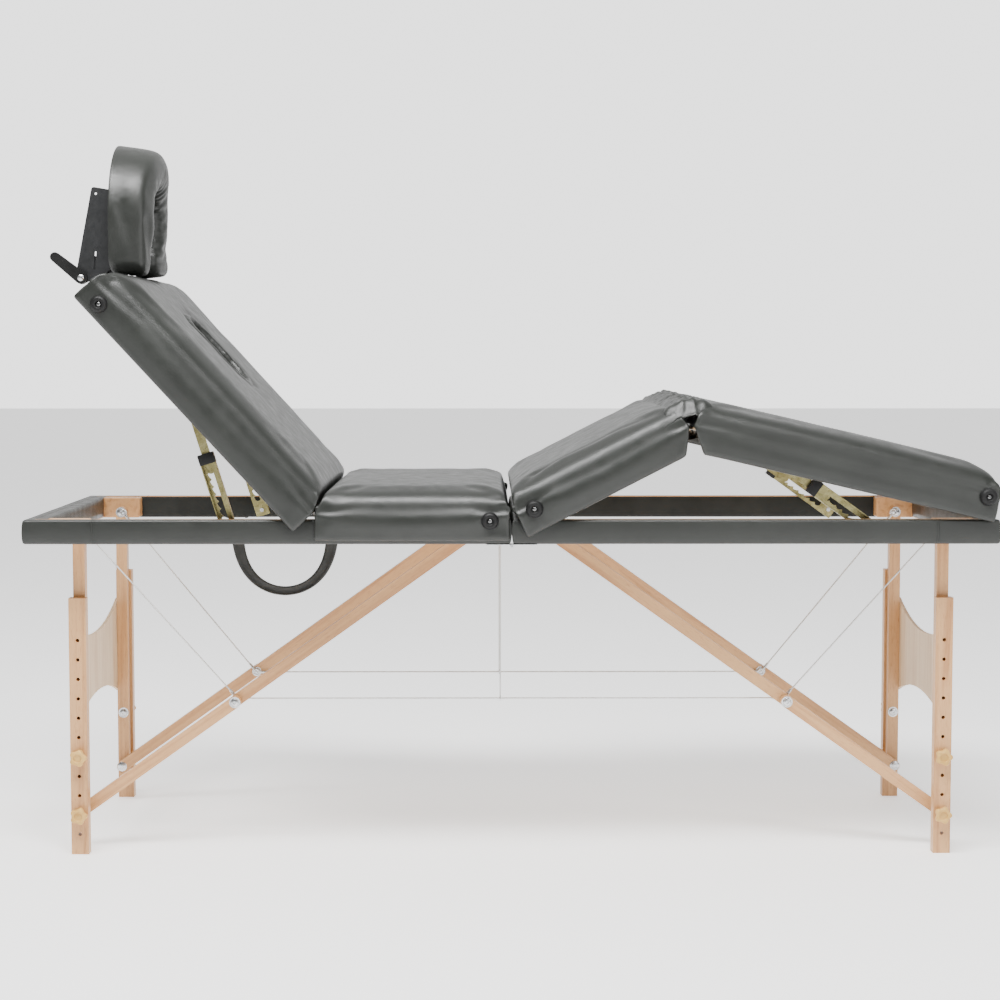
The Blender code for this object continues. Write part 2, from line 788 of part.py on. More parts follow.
def make_cable(label, side):
    """One thin steel cable per side, with a drop cable from the frame to its middle.

    It runs from a leg top to the strut joint, across to the other strut joint, and
    up to the other leg top.
    """
    knee_x, knee_z = STRUT_JOINT
    y, top_y = side * CABLE_Y, side * CABLE_TOP_Y
    top_x = LEG_X - CABLE_END_INSET
    points = [
        (-top_x, top_y, CABLE_TOP_Z),
        (-knee_x, y, knee_z),
        (knee_x, y, knee_z),
        (top_x, top_y, CABLE_TOP_Z),
    ]
    cable = bmesh.new()
    add_cable(cable, points)
    node = make_node("cable_" + label, cable, "cable")
    drop = bmesh.new()
    add_cable(drop, [(DROP_CABLE_X, y, DROP_CABLE_TOP_Z), (DROP_CABLE_X, y, knee_z)])
    join(node, make_cutter("drop_cable_" + label, drop))


# ----------------------------------------------------------------- carry handle


def make_handle():
    """A padded strap loop that hangs from the far side rail."""
    left, right = HANDLE_X
    middle = (left + right) / 2
    reach = (right - left) / 2
    drop = HANDLE_PIVOT_Z - HANDLE_BOTTOM_Z
    outer, inner = [], []
    count = 16
    for step in range(count + 1):
        angle = pi * step / count
        along = cos(angle)
        low = sin(angle) ** 0.7
        width = STRAP_HALF_WIDTH + (GRIP_HALF_WIDTH - STRAP_HALF_WIDTH) * low
        x = middle - reach * along
        z = HANDLE_PIVOT_Z - drop * low
        normal = Vector((-along / reach, -sin(angle) / drop)).normalized()
        outer.append((x + width * normal.x, z + width * normal.y))
        inner.append((x - width * normal.x, z - width * normal.y))
    loop = outer + inner[::-1]
    handle = bmesh.new()
    start, end = across(1, HANDLE_Y - STRAP_HALF_THICK, HANDLE_Y + STRAP_HALF_THICK)
    add_flat(handle, [loop], start, end, upright())
    make_node("carry_handle", handle, "webbing", (middle, HANDLE_Y, HANDLE_PIVOT_Z))


# ------------------------------------------------------------------ face cradle


def cradle_outline(grow=0.0):
    """Front view of the horseshoe, as (Y, Z) points: an arch with its gap at the bottom."""
    outer = CRADLE_HALF_WIDTH + grow
    inner = CRADLE_HOLE_HALF - grow
    center = CRADLE_TOP - CRADLE_HALF_WIDTH
    foot = CRADLE_BOTTOM - grow
    tip = 0.034
    gap = CRADLE_ARM_HALF_GAP - grow
    points = arc((0, center), outer, 0, 180, 16)
    points += arc((-outer + tip, foot + tip), tip, 180, 270, 4)
    points += [(-gap, foot), (-gap - 0.002, foot + 0.036)]
    points += arc((0, center - 0.006), inner, 195, -15, 12)
    points += [(gap + 0.002, foot + 0.036), (gap, foot)]
    points += arc((outer - tip, foot + tip), tip, 270, 360, 4)
    return points


def facing_plate(solid, outline, low, high):
    """A flat outline in world Y and Z, from X low to X high."""
    turn = Matrix(((0, 0, 1, 0), (1, 0, 0, 0), (0, 1, 0, 0), (0, 0, 0, 1)))
    add_flat(solid, [outline], low, high, turn)


def make_cradle_frame():
    """Two prongs that slide under the back board, joined by a bar with two ears."""
    prongs = bmesh.new()
    add_box(prongs, CROSSBAR_LOW, CROSSBAR_HIGH, BACK)
    node = make_node("cradle_frame", prongs, "black_metal")
    for y in (-PRONG_Y, PRONG_Y):
        start = BACK @ Vector((PRONG_SPAN[0], y, PRONG_N))
        end = BACK @ Vector((PRONG_SPAN[1], y, PRONG_N))
        prong = bmesh.new()
        add_bar(prong, start, end, PRONG_RADIUS, 10)
        join(node, make_cutter("prong", prong))
    pivot = BACK.inverted() @ Vector((CRADLE_PIVOT[0], 0, CRADLE_PIVOT[1]))
    top = CROSSBAR_HIGH[2]
    outline = [(CROSSBAR_HIGH[0] + 0.002, top), (CROSSBAR_LOW[0] - 0.008, top)]
    outline += arc((pivot.x, pivot.z), CRADLE_EAR_ROUND, 160, 340, 8)
    hole = circle((pivot.x, pivot.z), PIVOT_HOLE, 10)
    for side in (-1, 1):
        ear = bmesh.new()
        start, end = across(side, CRADLE_EAR_Y - CRADLE_PLATE, CRADLE_EAR_Y)
        add_flat(ear, [outline, hole], start, end, profile_frame(BACK))
        join(node, make_cutter("cradle_ear", ear))


def make_cradle_head():
    """The tilting bracket, the horseshoe board and the horseshoe cushion."""
    x, z = CRADLE_PIVOT
    back = CRADLE_BACK_X - CRADLE_BOARD
    outline = arc((x, z), CRADLE_EAR_ROUND, 175, 290, 6)
    outline += [(back - 0.006, 1.082), (back - GAP, 1.092), (back - GAP, 1.236)]
    outline += arc(PLATE_CORNER, 0.005, 90, 170, 3)
    hole = circle((x, z), PIVOT_HOLE, 10)
    slot = [(-0.7835, 1.120), (-0.7865, 1.120), (-0.7895, 1.086), (-0.7855, 1.086)]
    eye = circle((-0.7835, 1.2285), 0.0025, 8)
    web = bmesh.new()
    reach = CRADLE_EAR_Y + 0.001
    low = (back - 0.0035, -reach, WEB_SPAN_Z[0])
    high = (back - GAP - 0.0001, reach, WEB_SPAN_Z[1])
    add_box(web, low, high)
    node = make_node("cradle_bracket", web, "black_metal", (x, 0, z))
    window = bmesh.new()
    low = (back - 0.01, -WEB_WINDOW_HALF, WEB_WINDOW_Z)
    high = (back + 0.01, WEB_WINDOW_HALF, WEB_SPAN_Z[1] + 0.02)
    add_box(window, low, high)
    cut(node, make_cutter("cradle_window", window))
    for side in (-1, 1):
        plate = bmesh.new()
        start, end = across(side, CRADLE_EAR_Y + 0.0004, CRADLE_EAR_Y + CRADLE_PLATE)
        add_flat(plate, [outline, hole, slot, eye], start, end, upright())
        join(node, make_cutter("cradle_plate", plate))
    board = bmesh.new()
    facing_plate(board, cradle_outline(-0.006), back, CRADLE_BACK_X - GAP)
    make_node("cradle_board", board, "black_plastic", (x, 0, z))
    cushion = bmesh.new()
    facing_plate(cushion, cradle_outline(), CRADLE_BACK_X, CRADLE_FRONT_X)
    make_node("cradle_cushion", cushion, "vinyl", (x, 0, z))


def make_cradle_lever():
    """The cam lever and its cross bolt, which clamp the tilt."""
    lever = bmesh.new()
    x, z = CRADLE_PIVOT
    run = Vector(LEVER_TIP) - Vector((x, z))
    turn = Matrix.Rotation(-atan2(run.y, run.x), 4, "Y")
    place = at_point(x, 0, z) @ turn @ upright()
    outline = arc((0, 0), 0.0115, 90, 270, 8)
    outline += arc((run.length - 0.009, 0), 0.009, -90, 90, 6)
    start, end = across(-1, CRADLE_EAR_Y + 0.0034, CRADLE_EAR_Y + 0.0120)
    add_flat(lever, [outline, circle((0, 0), LEVER_EYE, 8)], start, end, place)
    make_node("cradle_lever", lever, "black_plastic", (x, 0, z))


def build():
    make_seat()
    make_back()
    make_thigh()
    make_calf()
    make_stay("back", BACK, BACK_STAY_U, BACK_STAY_FRAME_X, BACK_STAY_BAR)
    make_stay("calf", CALF, CALF_STAY_U, CALF_STAY_FRAME_X, CALF_STAY_BAR)
    for half, sign in (("left", -1), ("right", 1)):
        make_rails(half, sign)
        make_beams(half, sign)
        make_leg_panel(half, sign)
        for label, side in SIDES:
            make_upper_leg(half, sign, label, side)
            make_lower_leg(half, sign, label, side)
            make_struts(half, sign, label, side)
            for level in KNOB_HEIGHTS:
                make_knob(half, sign, level, label, side)
    for label, side in SIDES:
        make_cable(label, side)
    make_handle()
    make_cradle_frame()
    make_cradle_head()
    make_cradle_lever()


build()
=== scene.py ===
import json
from math import atan2, cos, exp, pi, radians, sin, sqrt, tan

import bmesh
import bpy
from mathutils import Matrix, Vector, noise


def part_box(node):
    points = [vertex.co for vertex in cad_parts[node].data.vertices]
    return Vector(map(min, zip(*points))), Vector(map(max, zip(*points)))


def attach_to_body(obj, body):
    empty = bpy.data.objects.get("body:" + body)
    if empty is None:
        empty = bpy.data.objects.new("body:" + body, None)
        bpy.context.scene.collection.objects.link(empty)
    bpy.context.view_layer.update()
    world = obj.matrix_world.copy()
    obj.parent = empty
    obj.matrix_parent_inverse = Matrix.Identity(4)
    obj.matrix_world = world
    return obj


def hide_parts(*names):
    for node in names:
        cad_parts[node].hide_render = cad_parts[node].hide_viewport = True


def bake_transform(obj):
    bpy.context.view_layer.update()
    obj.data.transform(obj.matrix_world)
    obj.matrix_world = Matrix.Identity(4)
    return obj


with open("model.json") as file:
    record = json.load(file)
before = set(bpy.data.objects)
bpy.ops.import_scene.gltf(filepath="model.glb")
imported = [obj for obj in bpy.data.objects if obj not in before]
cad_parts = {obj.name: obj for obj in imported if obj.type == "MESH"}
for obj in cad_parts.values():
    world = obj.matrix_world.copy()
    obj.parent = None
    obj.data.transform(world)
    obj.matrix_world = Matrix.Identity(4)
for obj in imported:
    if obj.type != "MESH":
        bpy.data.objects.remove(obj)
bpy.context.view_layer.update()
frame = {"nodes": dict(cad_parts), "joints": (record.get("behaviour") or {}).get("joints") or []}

# Looks for a portable massage table: upholstered sections, wrapped rails, beech legs and
# struts, fittings and cables. Metres, +Z up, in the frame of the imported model.

NODES = frame["nodes"]
JOINTS = {joint["name"]: joint for joint in frame["joints"]}
SIDES = (("near", -1), ("far", 1))
HALVES = (("left", -1), ("right", 1))

# the vinyl shell of a cushion: thickness, size of its mesh cells, roundings of its edges
SKIN = 0.0115
CELL = 0.0095
TOP_ROUND = 0.036
HINGE_END_ROUND = 0.008
FREE_END_ROUND = 0.046
END_WALL_BOTTOM = -0.0050
# how the ends of two cushions lean so that they meet in the pose of the photo
JOINT_SLACK = radians(0.6)
SEAT_END_LEAN = radians(15.2)
THIGH_START_LEAN = radians(12.8)
LEAN_REACH = 0.12
# the cloth simulation: its length, and the most that it may move a point
CLOTH_FRAMES = 20
CLOTH_CAP = 0.0055
CRADLE_CAP = 0.006


# ------------------------------------------------------------------ mesh helpers


def make_piece(name, mesh_or_bm, materials, smooth=40):
    if isinstance(mesh_or_bm, bmesh.types.BMesh):
        mesh = bpy.data.meshes.new(name)
        bmesh.ops.recalc_face_normals(mesh_or_bm, faces=mesh_or_bm.faces)
        mesh_or_bm.to_mesh(mesh)
        mesh_or_bm.free()
    else:
        mesh = mesh_or_bm
    mesh.shade_smooth()
    mesh.set_sharp_from_angle(angle=radians(smooth))
    piece = bpy.data.objects.new(name, mesh)
    bpy.context.scene.collection.objects.link(piece)
    for material in materials if isinstance(materials, (list, tuple)) else [materials]:
        mesh.materials.append(material)
    return piece


def attach(piece, body, slot, *nodes):
    """The piece rides on a body and may replace CAD nodes; its slot is not used."""
    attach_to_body(piece, body)
    if nodes:
        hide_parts(*nodes)
    return piece


def fit(name, bm, material, smooth, body, slot, *nodes):
    """Makes a piece and attaches it."""
    return attach(make_piece(name, bm, material, smooth), body, slot, *nodes)


def make_sheet(name, rows, material, smooth=180, **joined):
    """Makes a piece from rows of points."""
    bm = bmesh.new()
    add_rows(bm, rows, **joined)
    return make_piece(name, bm, material, smooth)


def add_rows(bm, rows, closed_rows=False, closed_ends=False, cap=False):
    """Joins rows of points with quads; a closed row is a ring."""
    rings = [[bm.verts.new(point) for point in row] for row in rows]
    count = len(rings)
    for index in range(count if closed_ends else count - 1):
        ring, following = rings[index], rings[(index + 1) % count]
        width = len(ring)
        for place in range(width if closed_rows else width - 1):
            other = (place + 1) % width
            bm.faces.new((ring[place], ring[other], following[other], following[place]))
    if cap and not closed_ends:
        bm.faces.new(rings[0][::-1])
        bm.faces.new(rings[-1])
    return rings


def add_lathe(bm, profile, place, sides=24):
    """A profile of (radius, height) turned about local Z; its ends may be on the axis."""
    rows = []
    for radius, height in profile:
        radius = max(radius, 1e-5)
        ring = []
        for step in range(sides):
            angle = 2 * pi * step / sides
            ring.append(place @ Vector((radius * cos(angle), radius * sin(angle), height)))
        rows.append(ring)
    add_rows(bm, rows, closed_rows=True, cap=True)


def add_pin(bm, place, radius, start, end, sides=20):
    """A plain round bar along local Z."""
    add_lathe(bm, [(0, start), (radius, start), (radius, end), (0, end)], place, sides)


def add_block(bm, low, high, place, edge=0.0008):
    """A box with small bevelled edges."""
    block = bmesh.new()
    bmesh.ops.create_cube(block, size=1.0)
    size = [b - a for a, b in zip(low, high)]
    middle = [(a + b) / 2 for a, b in zip(low, high)]
    bmesh.ops.scale(block, vec=size, verts=block.verts)
    bmesh.ops.translate(block, vec=middle, verts=block.verts)
    bmesh.ops.bevel(block, geom=block.edges, offset=edge, segments=2, profile=0.7, affect="EDGES")
    bmesh.ops.transform(block, matrix=place, verts=block.verts)
    mesh = bpy.data.meshes.new("block")
    block.to_mesh(mesh)
    block.free()
    bm.from_mesh(mesh)
    bpy.data.meshes.remove(mesh)


def turned_to(direction):
    """The rotation that brings local Z onto a direction."""
    return Vector((0, 0, 1)).rotation_difference(Vector(direction)).to_matrix().to_4x4()


def facing(side, x, z, y):
    """Local Z points away from the middle plane, starting at |Y| = y."""
    return Matrix.Translation((x, side * y, z)) @ turned_to((0, side, 0))


def add_smoothing(piece):
    smooth = piece.modifiers.new("smooth", "SUBSURF")
    smooth.levels = 1
    smooth.render_levels = 1


def add_thickness(piece, thickness, offset=-1):
    skin = piece.modifiers.new("thickness", "SOLIDIFY")
    skin.thickness = thickness
    skin.offset = offset
    return skin


def tilted(x, z, run):
    """Local X runs along (x, z) direction run, local Y across the table, local Z up."""
    turn = Matrix.Rotation(-atan2(run[1], run[0]), 4, "Y")
    return Matrix.Translation((x, 0, z)) @ turn


def smooth_step(value):
    value = min(max(value, 0.0), 1.0)
    return value * value * (3 - 2 * value)


def bell(distance, width):
    return exp(-((distance / width) ** 2))


def wrinkle(point, scale, seed):
    return noise.noise(Vector(point) * scale + Vector((seed, seed * 0.7, seed * 1.3)))


# -------------------------------------------------------------------- materials


def fill(tree, socket, value):
    """Links a socket to another one, or gives it a plain value."""
    if isinstance(value, bpy.types.NodeSocket):
        tree.links.new(value, socket)
    else:
        socket.default_value = value


def add_node(tree, kind, inputs, **settings):
    node = tree.nodes.new("ShaderNode" + kind)
    for name, value in settings.items():
        setattr(node, name, value)
    for name, value in inputs.items():
        fill(tree, node.inputs[name], value)
    return node


class Nodes:
    """Short forms for building one material's node tree."""

    def __init__(self, name):
        self.material = bpy.data.materials.new(name)
        self.material.use_nodes = True
        self.tree = self.material.node_tree
        self.shader = self.tree.nodes["Principled BSDF"]
        self.coordinates = add_node(self.tree, "TexCoord", {})

    def mapping(self, scale=(1, 1, 1), rotation=(0, 0, 0)):
        inputs = {
            "Rotation": rotation,
            "Scale": [1 / value for value in scale],
            "Vector": self.coordinates.outputs["Object"],
        }
        return add_node(self.tree, "Mapping", inputs, vector_type="TEXTURE").outputs["Vector"]

    def noise(self, vector, scale, detail=3.0, roughness=0.5, distortion=0.0):
        inputs = {"Scale": scale, "Detail": detail, "Roughness": roughness}
        inputs |= {"Distortion": distortion, "Vector": vector}
        return add_node(self.tree, "TexNoise", inputs).outputs["Fac"]

    def cells(self, vector, scale):
        inputs = {"Scale": scale, "Vector": vector}
        node = add_node(self.tree, "TexVoronoi", inputs, feature="DISTANCE_TO_EDGE")
        return node.outputs["Distance"]

    def ramp(self, value, stops):
        node = add_node(self.tree, "ValToRGB", {"Fac": value})
        ramp = node.color_ramp
        while len(ramp.elements) < len(stops):
            ramp.elements.new(0.5)
        for element, (place, color) in zip(ramp.elements, stops):
            element.position = place
            element.color = (*color, 1)
        return node.outputs["Color"]

    def spread(self, value, low, high, start=0.0, end=1.0):
        inputs = {"From Min": start, "From Max": end, "To Min": low, "To Max": high}
        return add_node(self.tree, "MapRange", inputs | {"Value": value}).outputs["Result"]

    def multiply(self, first, second, amount=1.0):
        inputs = {"Factor": amount, "A": first, "B": second}
        node = add_node(self.tree, "Mix", inputs, data_type="RGBA", blend_type="MULTIPLY")
        return node.outputs["Result"]

    def bump(self, height, strength, distance, under=None):
        inputs = {"Strength": strength, "Distance": distance, "Height": height}
        if under:
            inputs["Normal"] = under
        return add_node(self.tree, "Bump", inputs).outputs["Normal"]

    def finish(self, color, roughness, normal=None, **values):
        values = {"Base Color": color, "Roughness": roughness, "Normal": normal} | values
        for name, value in values.items():
            if value is not None:
                fill(self.tree, self.shader.inputs[name.replace("_", " ")], value)
        return self.material


def vinyl(name, dark, light, low_gloss=0.34, high_gloss=0.47, grain=0.16):
    """Coated upholstery vinyl: fine leather grain, soft waves and slight mottling."""
    nodes = Nodes(name)
    vector = nodes.mapping()
    mottle = nodes.noise(vector, 9.0, 5.0, 0.6)
    color = nodes.ramp(mottle, [(0.3, dark), (0.7, light)])
    gloss = nodes.spread(nodes.noise(vector, 42.0, 4.0), low_gloss, high_gloss, 0.3, 0.7)
    pores = nodes.cells(vector, 720.0)
    normal = nodes.bump(nodes.spread(pores, 0.0, 1.0, 0.0, 0.12), grain, 0.0004)
    creases = nodes.noise(vector, 130.0, 4.0, 0.55, 0.4)
    normal = nodes.bump(creases, 0.07, 0.0006, normal)
    waves = nodes.noise(vector, 9.0, 2.0, 0.4)
    normal = nodes.bump(waves, 0.12, 0.006, normal)
    return nodes.finish(color, gloss, normal, Specular_IOR_Level=0.5, Coat_Weight=0.08,
                        Coat_Roughness=0.22)


def beech(name, rotation, pale=(0.62, 0.35, 0.155), deep=(0.45, 0.215, 0.082)):
    """Varnished straight-grained beech, with the grain along local Z once rotated."""
    nodes = Nodes(name)
    rings = nodes.noise(nodes.mapping((70, 70, 2.2), rotation), 1.0, 4.0, 0.55, 0.9)
    color = nodes.ramp(rings, [(0.30, deep), (0.52, pale), (0.78, [c * 0.94 for c in pale])])
    flecks = nodes.noise(nodes.mapping((900, 900, 70), rotation), 1.0, 1.0, 0.5)
    shade = nodes.ramp(flecks, [(0.30, (0.78, 0.68, 0.60)), (0.42, (1, 1, 1))])
    color = nodes.multiply(color, shade, 0.75)
    patches = nodes.noise(nodes.mapping((7, 7, 1.6), rotation), 1.0, 2.0)
    tint = nodes.ramp(patches, [(0.3, (0.90, 0.86, 0.82)), (0.7, (1, 1, 1))])
    color = nodes.multiply(color, tint, 0.8)
    gloss = nodes.spread(rings, 0.34, 0.48, 0.3, 0.7)
    normal = nodes.bump(flecks, 0.08, 0.0003)
    normal = nodes.bump(rings, 0.06, 0.0008, normal)
    return nodes.finish(color, gloss, normal, Coat_Weight=0.12, Coat_Roughness=0.25)


def plywood(name, pale, deep, rotation):
    nodes = Nodes(name)
    figure = nodes.noise(nodes.mapping((26, 26, 1.8), rotation), 1.0, 5.0, 0.6, 1.4)
    color = nodes.ramp(figure, [(0.3, deep), (0.6, pale)])
    pores = nodes.noise(nodes.mapping((700, 700, 40), rotation), 1.0, 2.0)
    shade = nodes.ramp(pores, [(0.32, (0.82, 0.76, 0.70)), (0.45, (1, 1, 1))])
    color = nodes.multiply(color, shade, 0.6)
    normal = nodes.bump(pores, 0.08, 0.0003)
    return nodes.finish(color, nodes.spread(figure, 0.4, 0.55), normal)


def metal(name, dark, light, low_gloss, high_gloss, scale=60.0, metallic=1.0):
    nodes = Nodes(name)
    vector = nodes.mapping()
    stain = nodes.noise(vector, scale, 5.0, 0.6, 0.4)
    color = nodes.ramp(stain, [(0.35, dark), (0.65, light)])
    gloss = nodes.spread(nodes.noise(vector, scale * 3, 3.0), low_gloss, high_gloss, 0.3, 0.7)
    normal = nodes.bump(nodes.noise(vector, 900.0, 2.0), 0.05, 0.0002)
    return nodes.finish(color, gloss, normal, Metallic=metallic)


def moulded(name, dark, light, low_gloss, high_gloss, grain=0.12, grain_scale=1400.0):
    """Moulded plastic or rubber with a fine sparked texture."""
    nodes = Nodes(name)
    vector = nodes.mapping()
    cloud = nodes.noise(vector, 30.0, 4.0, 0.6)
    color = nodes.ramp(cloud, [(0.35, dark), (0.65, light)])
    gloss = nodes.spread(cloud, low_gloss, high_gloss, 0.3, 0.7)
    normal = nodes.bump(nodes.noise(vector, grain_scale, 2.0), grain, 0.0003)
    return nodes.finish(color, gloss, normal, Specular_IOR_Level=0.3)


def felt(name):
    """Charcoal lining on the inner faces of the rails."""
    nodes = Nodes(name)
    vector = nodes.mapping()
    cloud = nodes.noise(vector, 16.0, 4.0)
    color = nodes.ramp(cloud, [(0.3, (0.012, 0.0135, 0.0125)), (0.7, (0.020, 0.0225, 0.0205))])
    normal = nodes.bump(nodes.noise(vector, 1100.0, 3.0), 0.35, 0.0006)
    return nodes.finish(color, 0.78, normal, Specular_IOR_Level=0.35)


def wire_rope(name):
    """Twisted steel wire in a clear pale sleeve."""
    nodes = Nodes(name)
    inputs = {"Scale": 260.0, "Vector": nodes.mapping()}
    twist = add_node(nodes.tree, "TexWave", inputs, bands_direction="DIAGONAL").outputs["Fac"]
    color = nodes.ramp(twist, [(0.2, (0.50, 0.50, 0.49)), (0.8, (0.80, 0.80, 0.79))])
    normal = nodes.bump(twist, 0.3, 0.0003)
    return nodes.finish(color, 0.34, normal, Metallic=0.35)


DARK_VINYL = (0.0110, 0.0124, 0.0102)
LIGHT_VINYL = (0.0155, 0.0174, 0.0145)
ALONG_X = (0, radians(90), 0)
ALONG_Y = (radians(90), 0, 0)
UPRIGHT = (0, 0, 0)
VINYL = vinyl("vinyl", DARK_VINYL, LIGHT_VINYL)
RAIL_VINYL = vinyl("rail_vinyl", DARK_VINYL, LIGHT_VINYL, 0.36, 0.5, 0.2)
DARK_STRAP = (0.009, 0.010, 0.009)
LIGHT_STRAP = (0.015, 0.0165, 0.0145)
STRAP_VINYL = vinyl("strap_vinyl", DARK_STRAP, LIGHT_STRAP, 0.28, 0.42, 0.2)
BEECH_UP = beech("beech_legs", UPRIGHT)
BEECH_ACROSS = beech("beech_beams", ALONG_Y)
BEECH_LENGTH = beech("beech_strip", ALONG_X)
PANEL_WOOD = plywood("leg_panel_wood", (0.72, 0.55, 0.36), (0.58, 0.37, 0.19), UPRIGHT)
BOARD_WOOD = plywood("section_board_wood", (0.72, 0.55, 0.36), (0.55, 0.38, 0.23), ALONG_Y)
FELT = felt("rail_lining")
ZINC = metal("yellow_zinc", (0.23, 0.20, 0.085), (0.42, 0.38, 0.19), 0.22, 0.40)
STEEL = metal("bright_steel", (0.50, 0.51, 0.52), (0.70, 0.71, 0.72), 0.2, 0.34)
SCREW = metal("dark_screw", (0.16, 0.16, 0.16), (0.30, 0.30, 0.30), 0.2, 0.3)
DARK_COAT = (0.004, 0.0045, 0.005)
LIGHT_COAT = (0.008, 0.0085, 0.0095)
BLACK_METAL = metal("black_powder_coat", DARK_COAT, LIGHT_COAT, 0.42, 0.56, 40.0, 0.0)
BLACK_PLASTIC = moulded("black_plastic", (0.004, 0.004, 0.004), (0.008, 0.008, 0.008), 0.4, 0.55)
RUBBER = moulded("black_rubber", (0.003, 0.003, 0.003), (0.006, 0.006, 0.006), 0.46, 0.62, 0.2)
KNOB_PLASTIC = moulded("knob_plastic", (0.56, 0.33, 0.09), (0.68, 0.43, 0.145), 0.3, 0.42, 0.05)
WIRE = wire_rope("wire_rope")


# --------------------------------------------------------------------- sections


def section_frame(pivot, run):
    """Columns are along the section, across it, and up out of its cushion."""
    along = Vector((run[0], 0, run[1])).normalized()
    up = Vector((-along.z, 0, along.x))
    if up.z < 0:
        up.negate()
    columns = Matrix((along, up.cross(along), up)).transposed().to_4x4()
    return Matrix.Translation(pivot) @ columns


def joint_point(name):
    return Vector(JOINTS[name]["pos_m"])


BACK_RAISE = -radians(JOINTS["back_recline"]["range_deg"][0])
THIGH_RAISE = -radians(JOINTS["thigh_raise"]["range_deg"][0])
CALF_SLOPE = THIGH_RAISE - radians(JOINTS["calf_bend"]["range_deg"][1])
BACK = section_frame(joint_point("back_recline"), (-cos(BACK_RAISE), sin(BACK_RAISE)))
SEAT = section_frame(joint_point("back_recline"), (1, 0))
THIGH = section_frame(joint_point("thigh_raise"), (cos(THIGH_RAISE), sin(THIGH_RAISE)))
CALF = section_frame(joint_point("calf_bend"), (cos(CALF_SLOPE), sin(CALF_SLOPE)))
BACK_LEAN = BACK_RAISE / 2 + JOINT_SLACK
PEAK_CHAMFER = (THIGH_RAISE - CALF_SLOPE) / 2 + radians(0.4)
NOTCH = radians(13)


def extent(node, place):
    """Lowest and highest corners of a CAD node in a section's own directions."""
    inverse = place.inverted()
    points = [inverse @ vertex.co for vertex in NODES[node].data.vertices]
    low = Vector([min(point[axis] for point in points) for axis in range(3)])
    high = Vector([max(point[axis] for point in points) for axis in range(3)])
    return low, high


class Section:
    """One upholstered section: its frame, its ends and the slopes of its end faces."""

    def __init__(self, name, body, place, leans, chamfers, free_end):
        self.name = name
        self.body = body
        self.place = place
        self.start_lean, self.end_lean = (tan(lean) for lean in leans)
        self.start_chamfer, self.end_chamfer = (tan(chamfer) for chamfer in chamfers)
        low, high = extent(name + "_cushion", place)
        self.start, self.end = low.x, high.x
        self.half = high.y
        self.bottom, self.top = low.z, high.z
        self.free_end = free_end
        low, high = extent(name + "_bumper", place)
        self.bumper = (low + high) / 2

    def shift(self, u, n):
        """How far the leaning end faces move a point along the section."""
        near_start = max(0.0, 1 - (u - self.start) / LEAN_REACH)
        near_end = max(0.0, 1 - (self.end - u) / LEAN_REACH)
        if n > 0:
            return n * (self.start_lean * near_start - self.end_lean * near_end)
        return -n * (self.start_chamfer * near_start - self.end_chamfer * near_end)

    def limits(self, n):
        """The lowest and highest place along the section that its hinged ends allow."""
        start = self.start + self.shift(self.start, n)
        end = self.end + self.shift(self.end, n)
        return start, end + (0.01 if self.free_end else 0)


SEAT_SECTION = Section("seat", "left_frame", SEAT, (BACK_LEAN, SEAT_END_LEAN), (0, 0), False)
BACK_SECTION = Section("back", "back_section", BACK, (BACK_LEAN, 0), (0, 0), True)
THIGH_SECTION = Section(
    "thigh", "thigh_section", THIGH, (THIGH_START_LEAN, 0), (0, PEAK_CHAMFER + NOTCH), False
)
CALF_SECTION = Section("calf", "calf_section", CALF, (0, 0), (PEAK_CHAMFER + NOTCH, 0), True)
SECTIONS = (SEAT_SECTION, BACK_SECTION, THIGH_SECTION, CALF_SECTION)


def rounded(value, low, high, low_round, high_round):
    """Splits a coordinate into its inner part and its share of the rounding at an end."""
    if value < low + low_round:
        return low + low_round, (value - low - low_round) / low_round, low_round
    if value > high - high_round:
        return high - high_round, (value - high + high_round) / high_round, high_round
    return value, 0.0, 1.0


def shell_point(section, u, v, n):
    """A point of the box-shaped shell, moved onto its rounded form."""
    end_round = FREE_END_ROUND if section.free_end else HINGE_END_ROUND
    start_round = HINGE_END_ROUND
    u_in, u_out, u_size = rounded(u, section.start, section.end, start_round, end_round)
    v_in, v_out, v_size = rounded(v, -section.half, section.half, TOP_ROUND, TOP_ROUND)
    n_in, n_out, n_size = rounded(n, section.bottom - 1, section.top, 0.5, TOP_ROUND)
    along = max(abs(u_out), n_out) / max(sqrt(u_out**2 + n_out**2), 1e-6)
    across = max(abs(v_out), n_out) / max(sqrt(v_out**2 + n_out**2), 1e-6)
    u_in += u_size * u_out * (along if n_out else 1)
    v_in += v_size * v_out * (across if n_out else 1)
    drop = (along if u_out else 1) * (across if v_out else 1)
    return u_in, v_in, n_in + n_size * n_out * drop


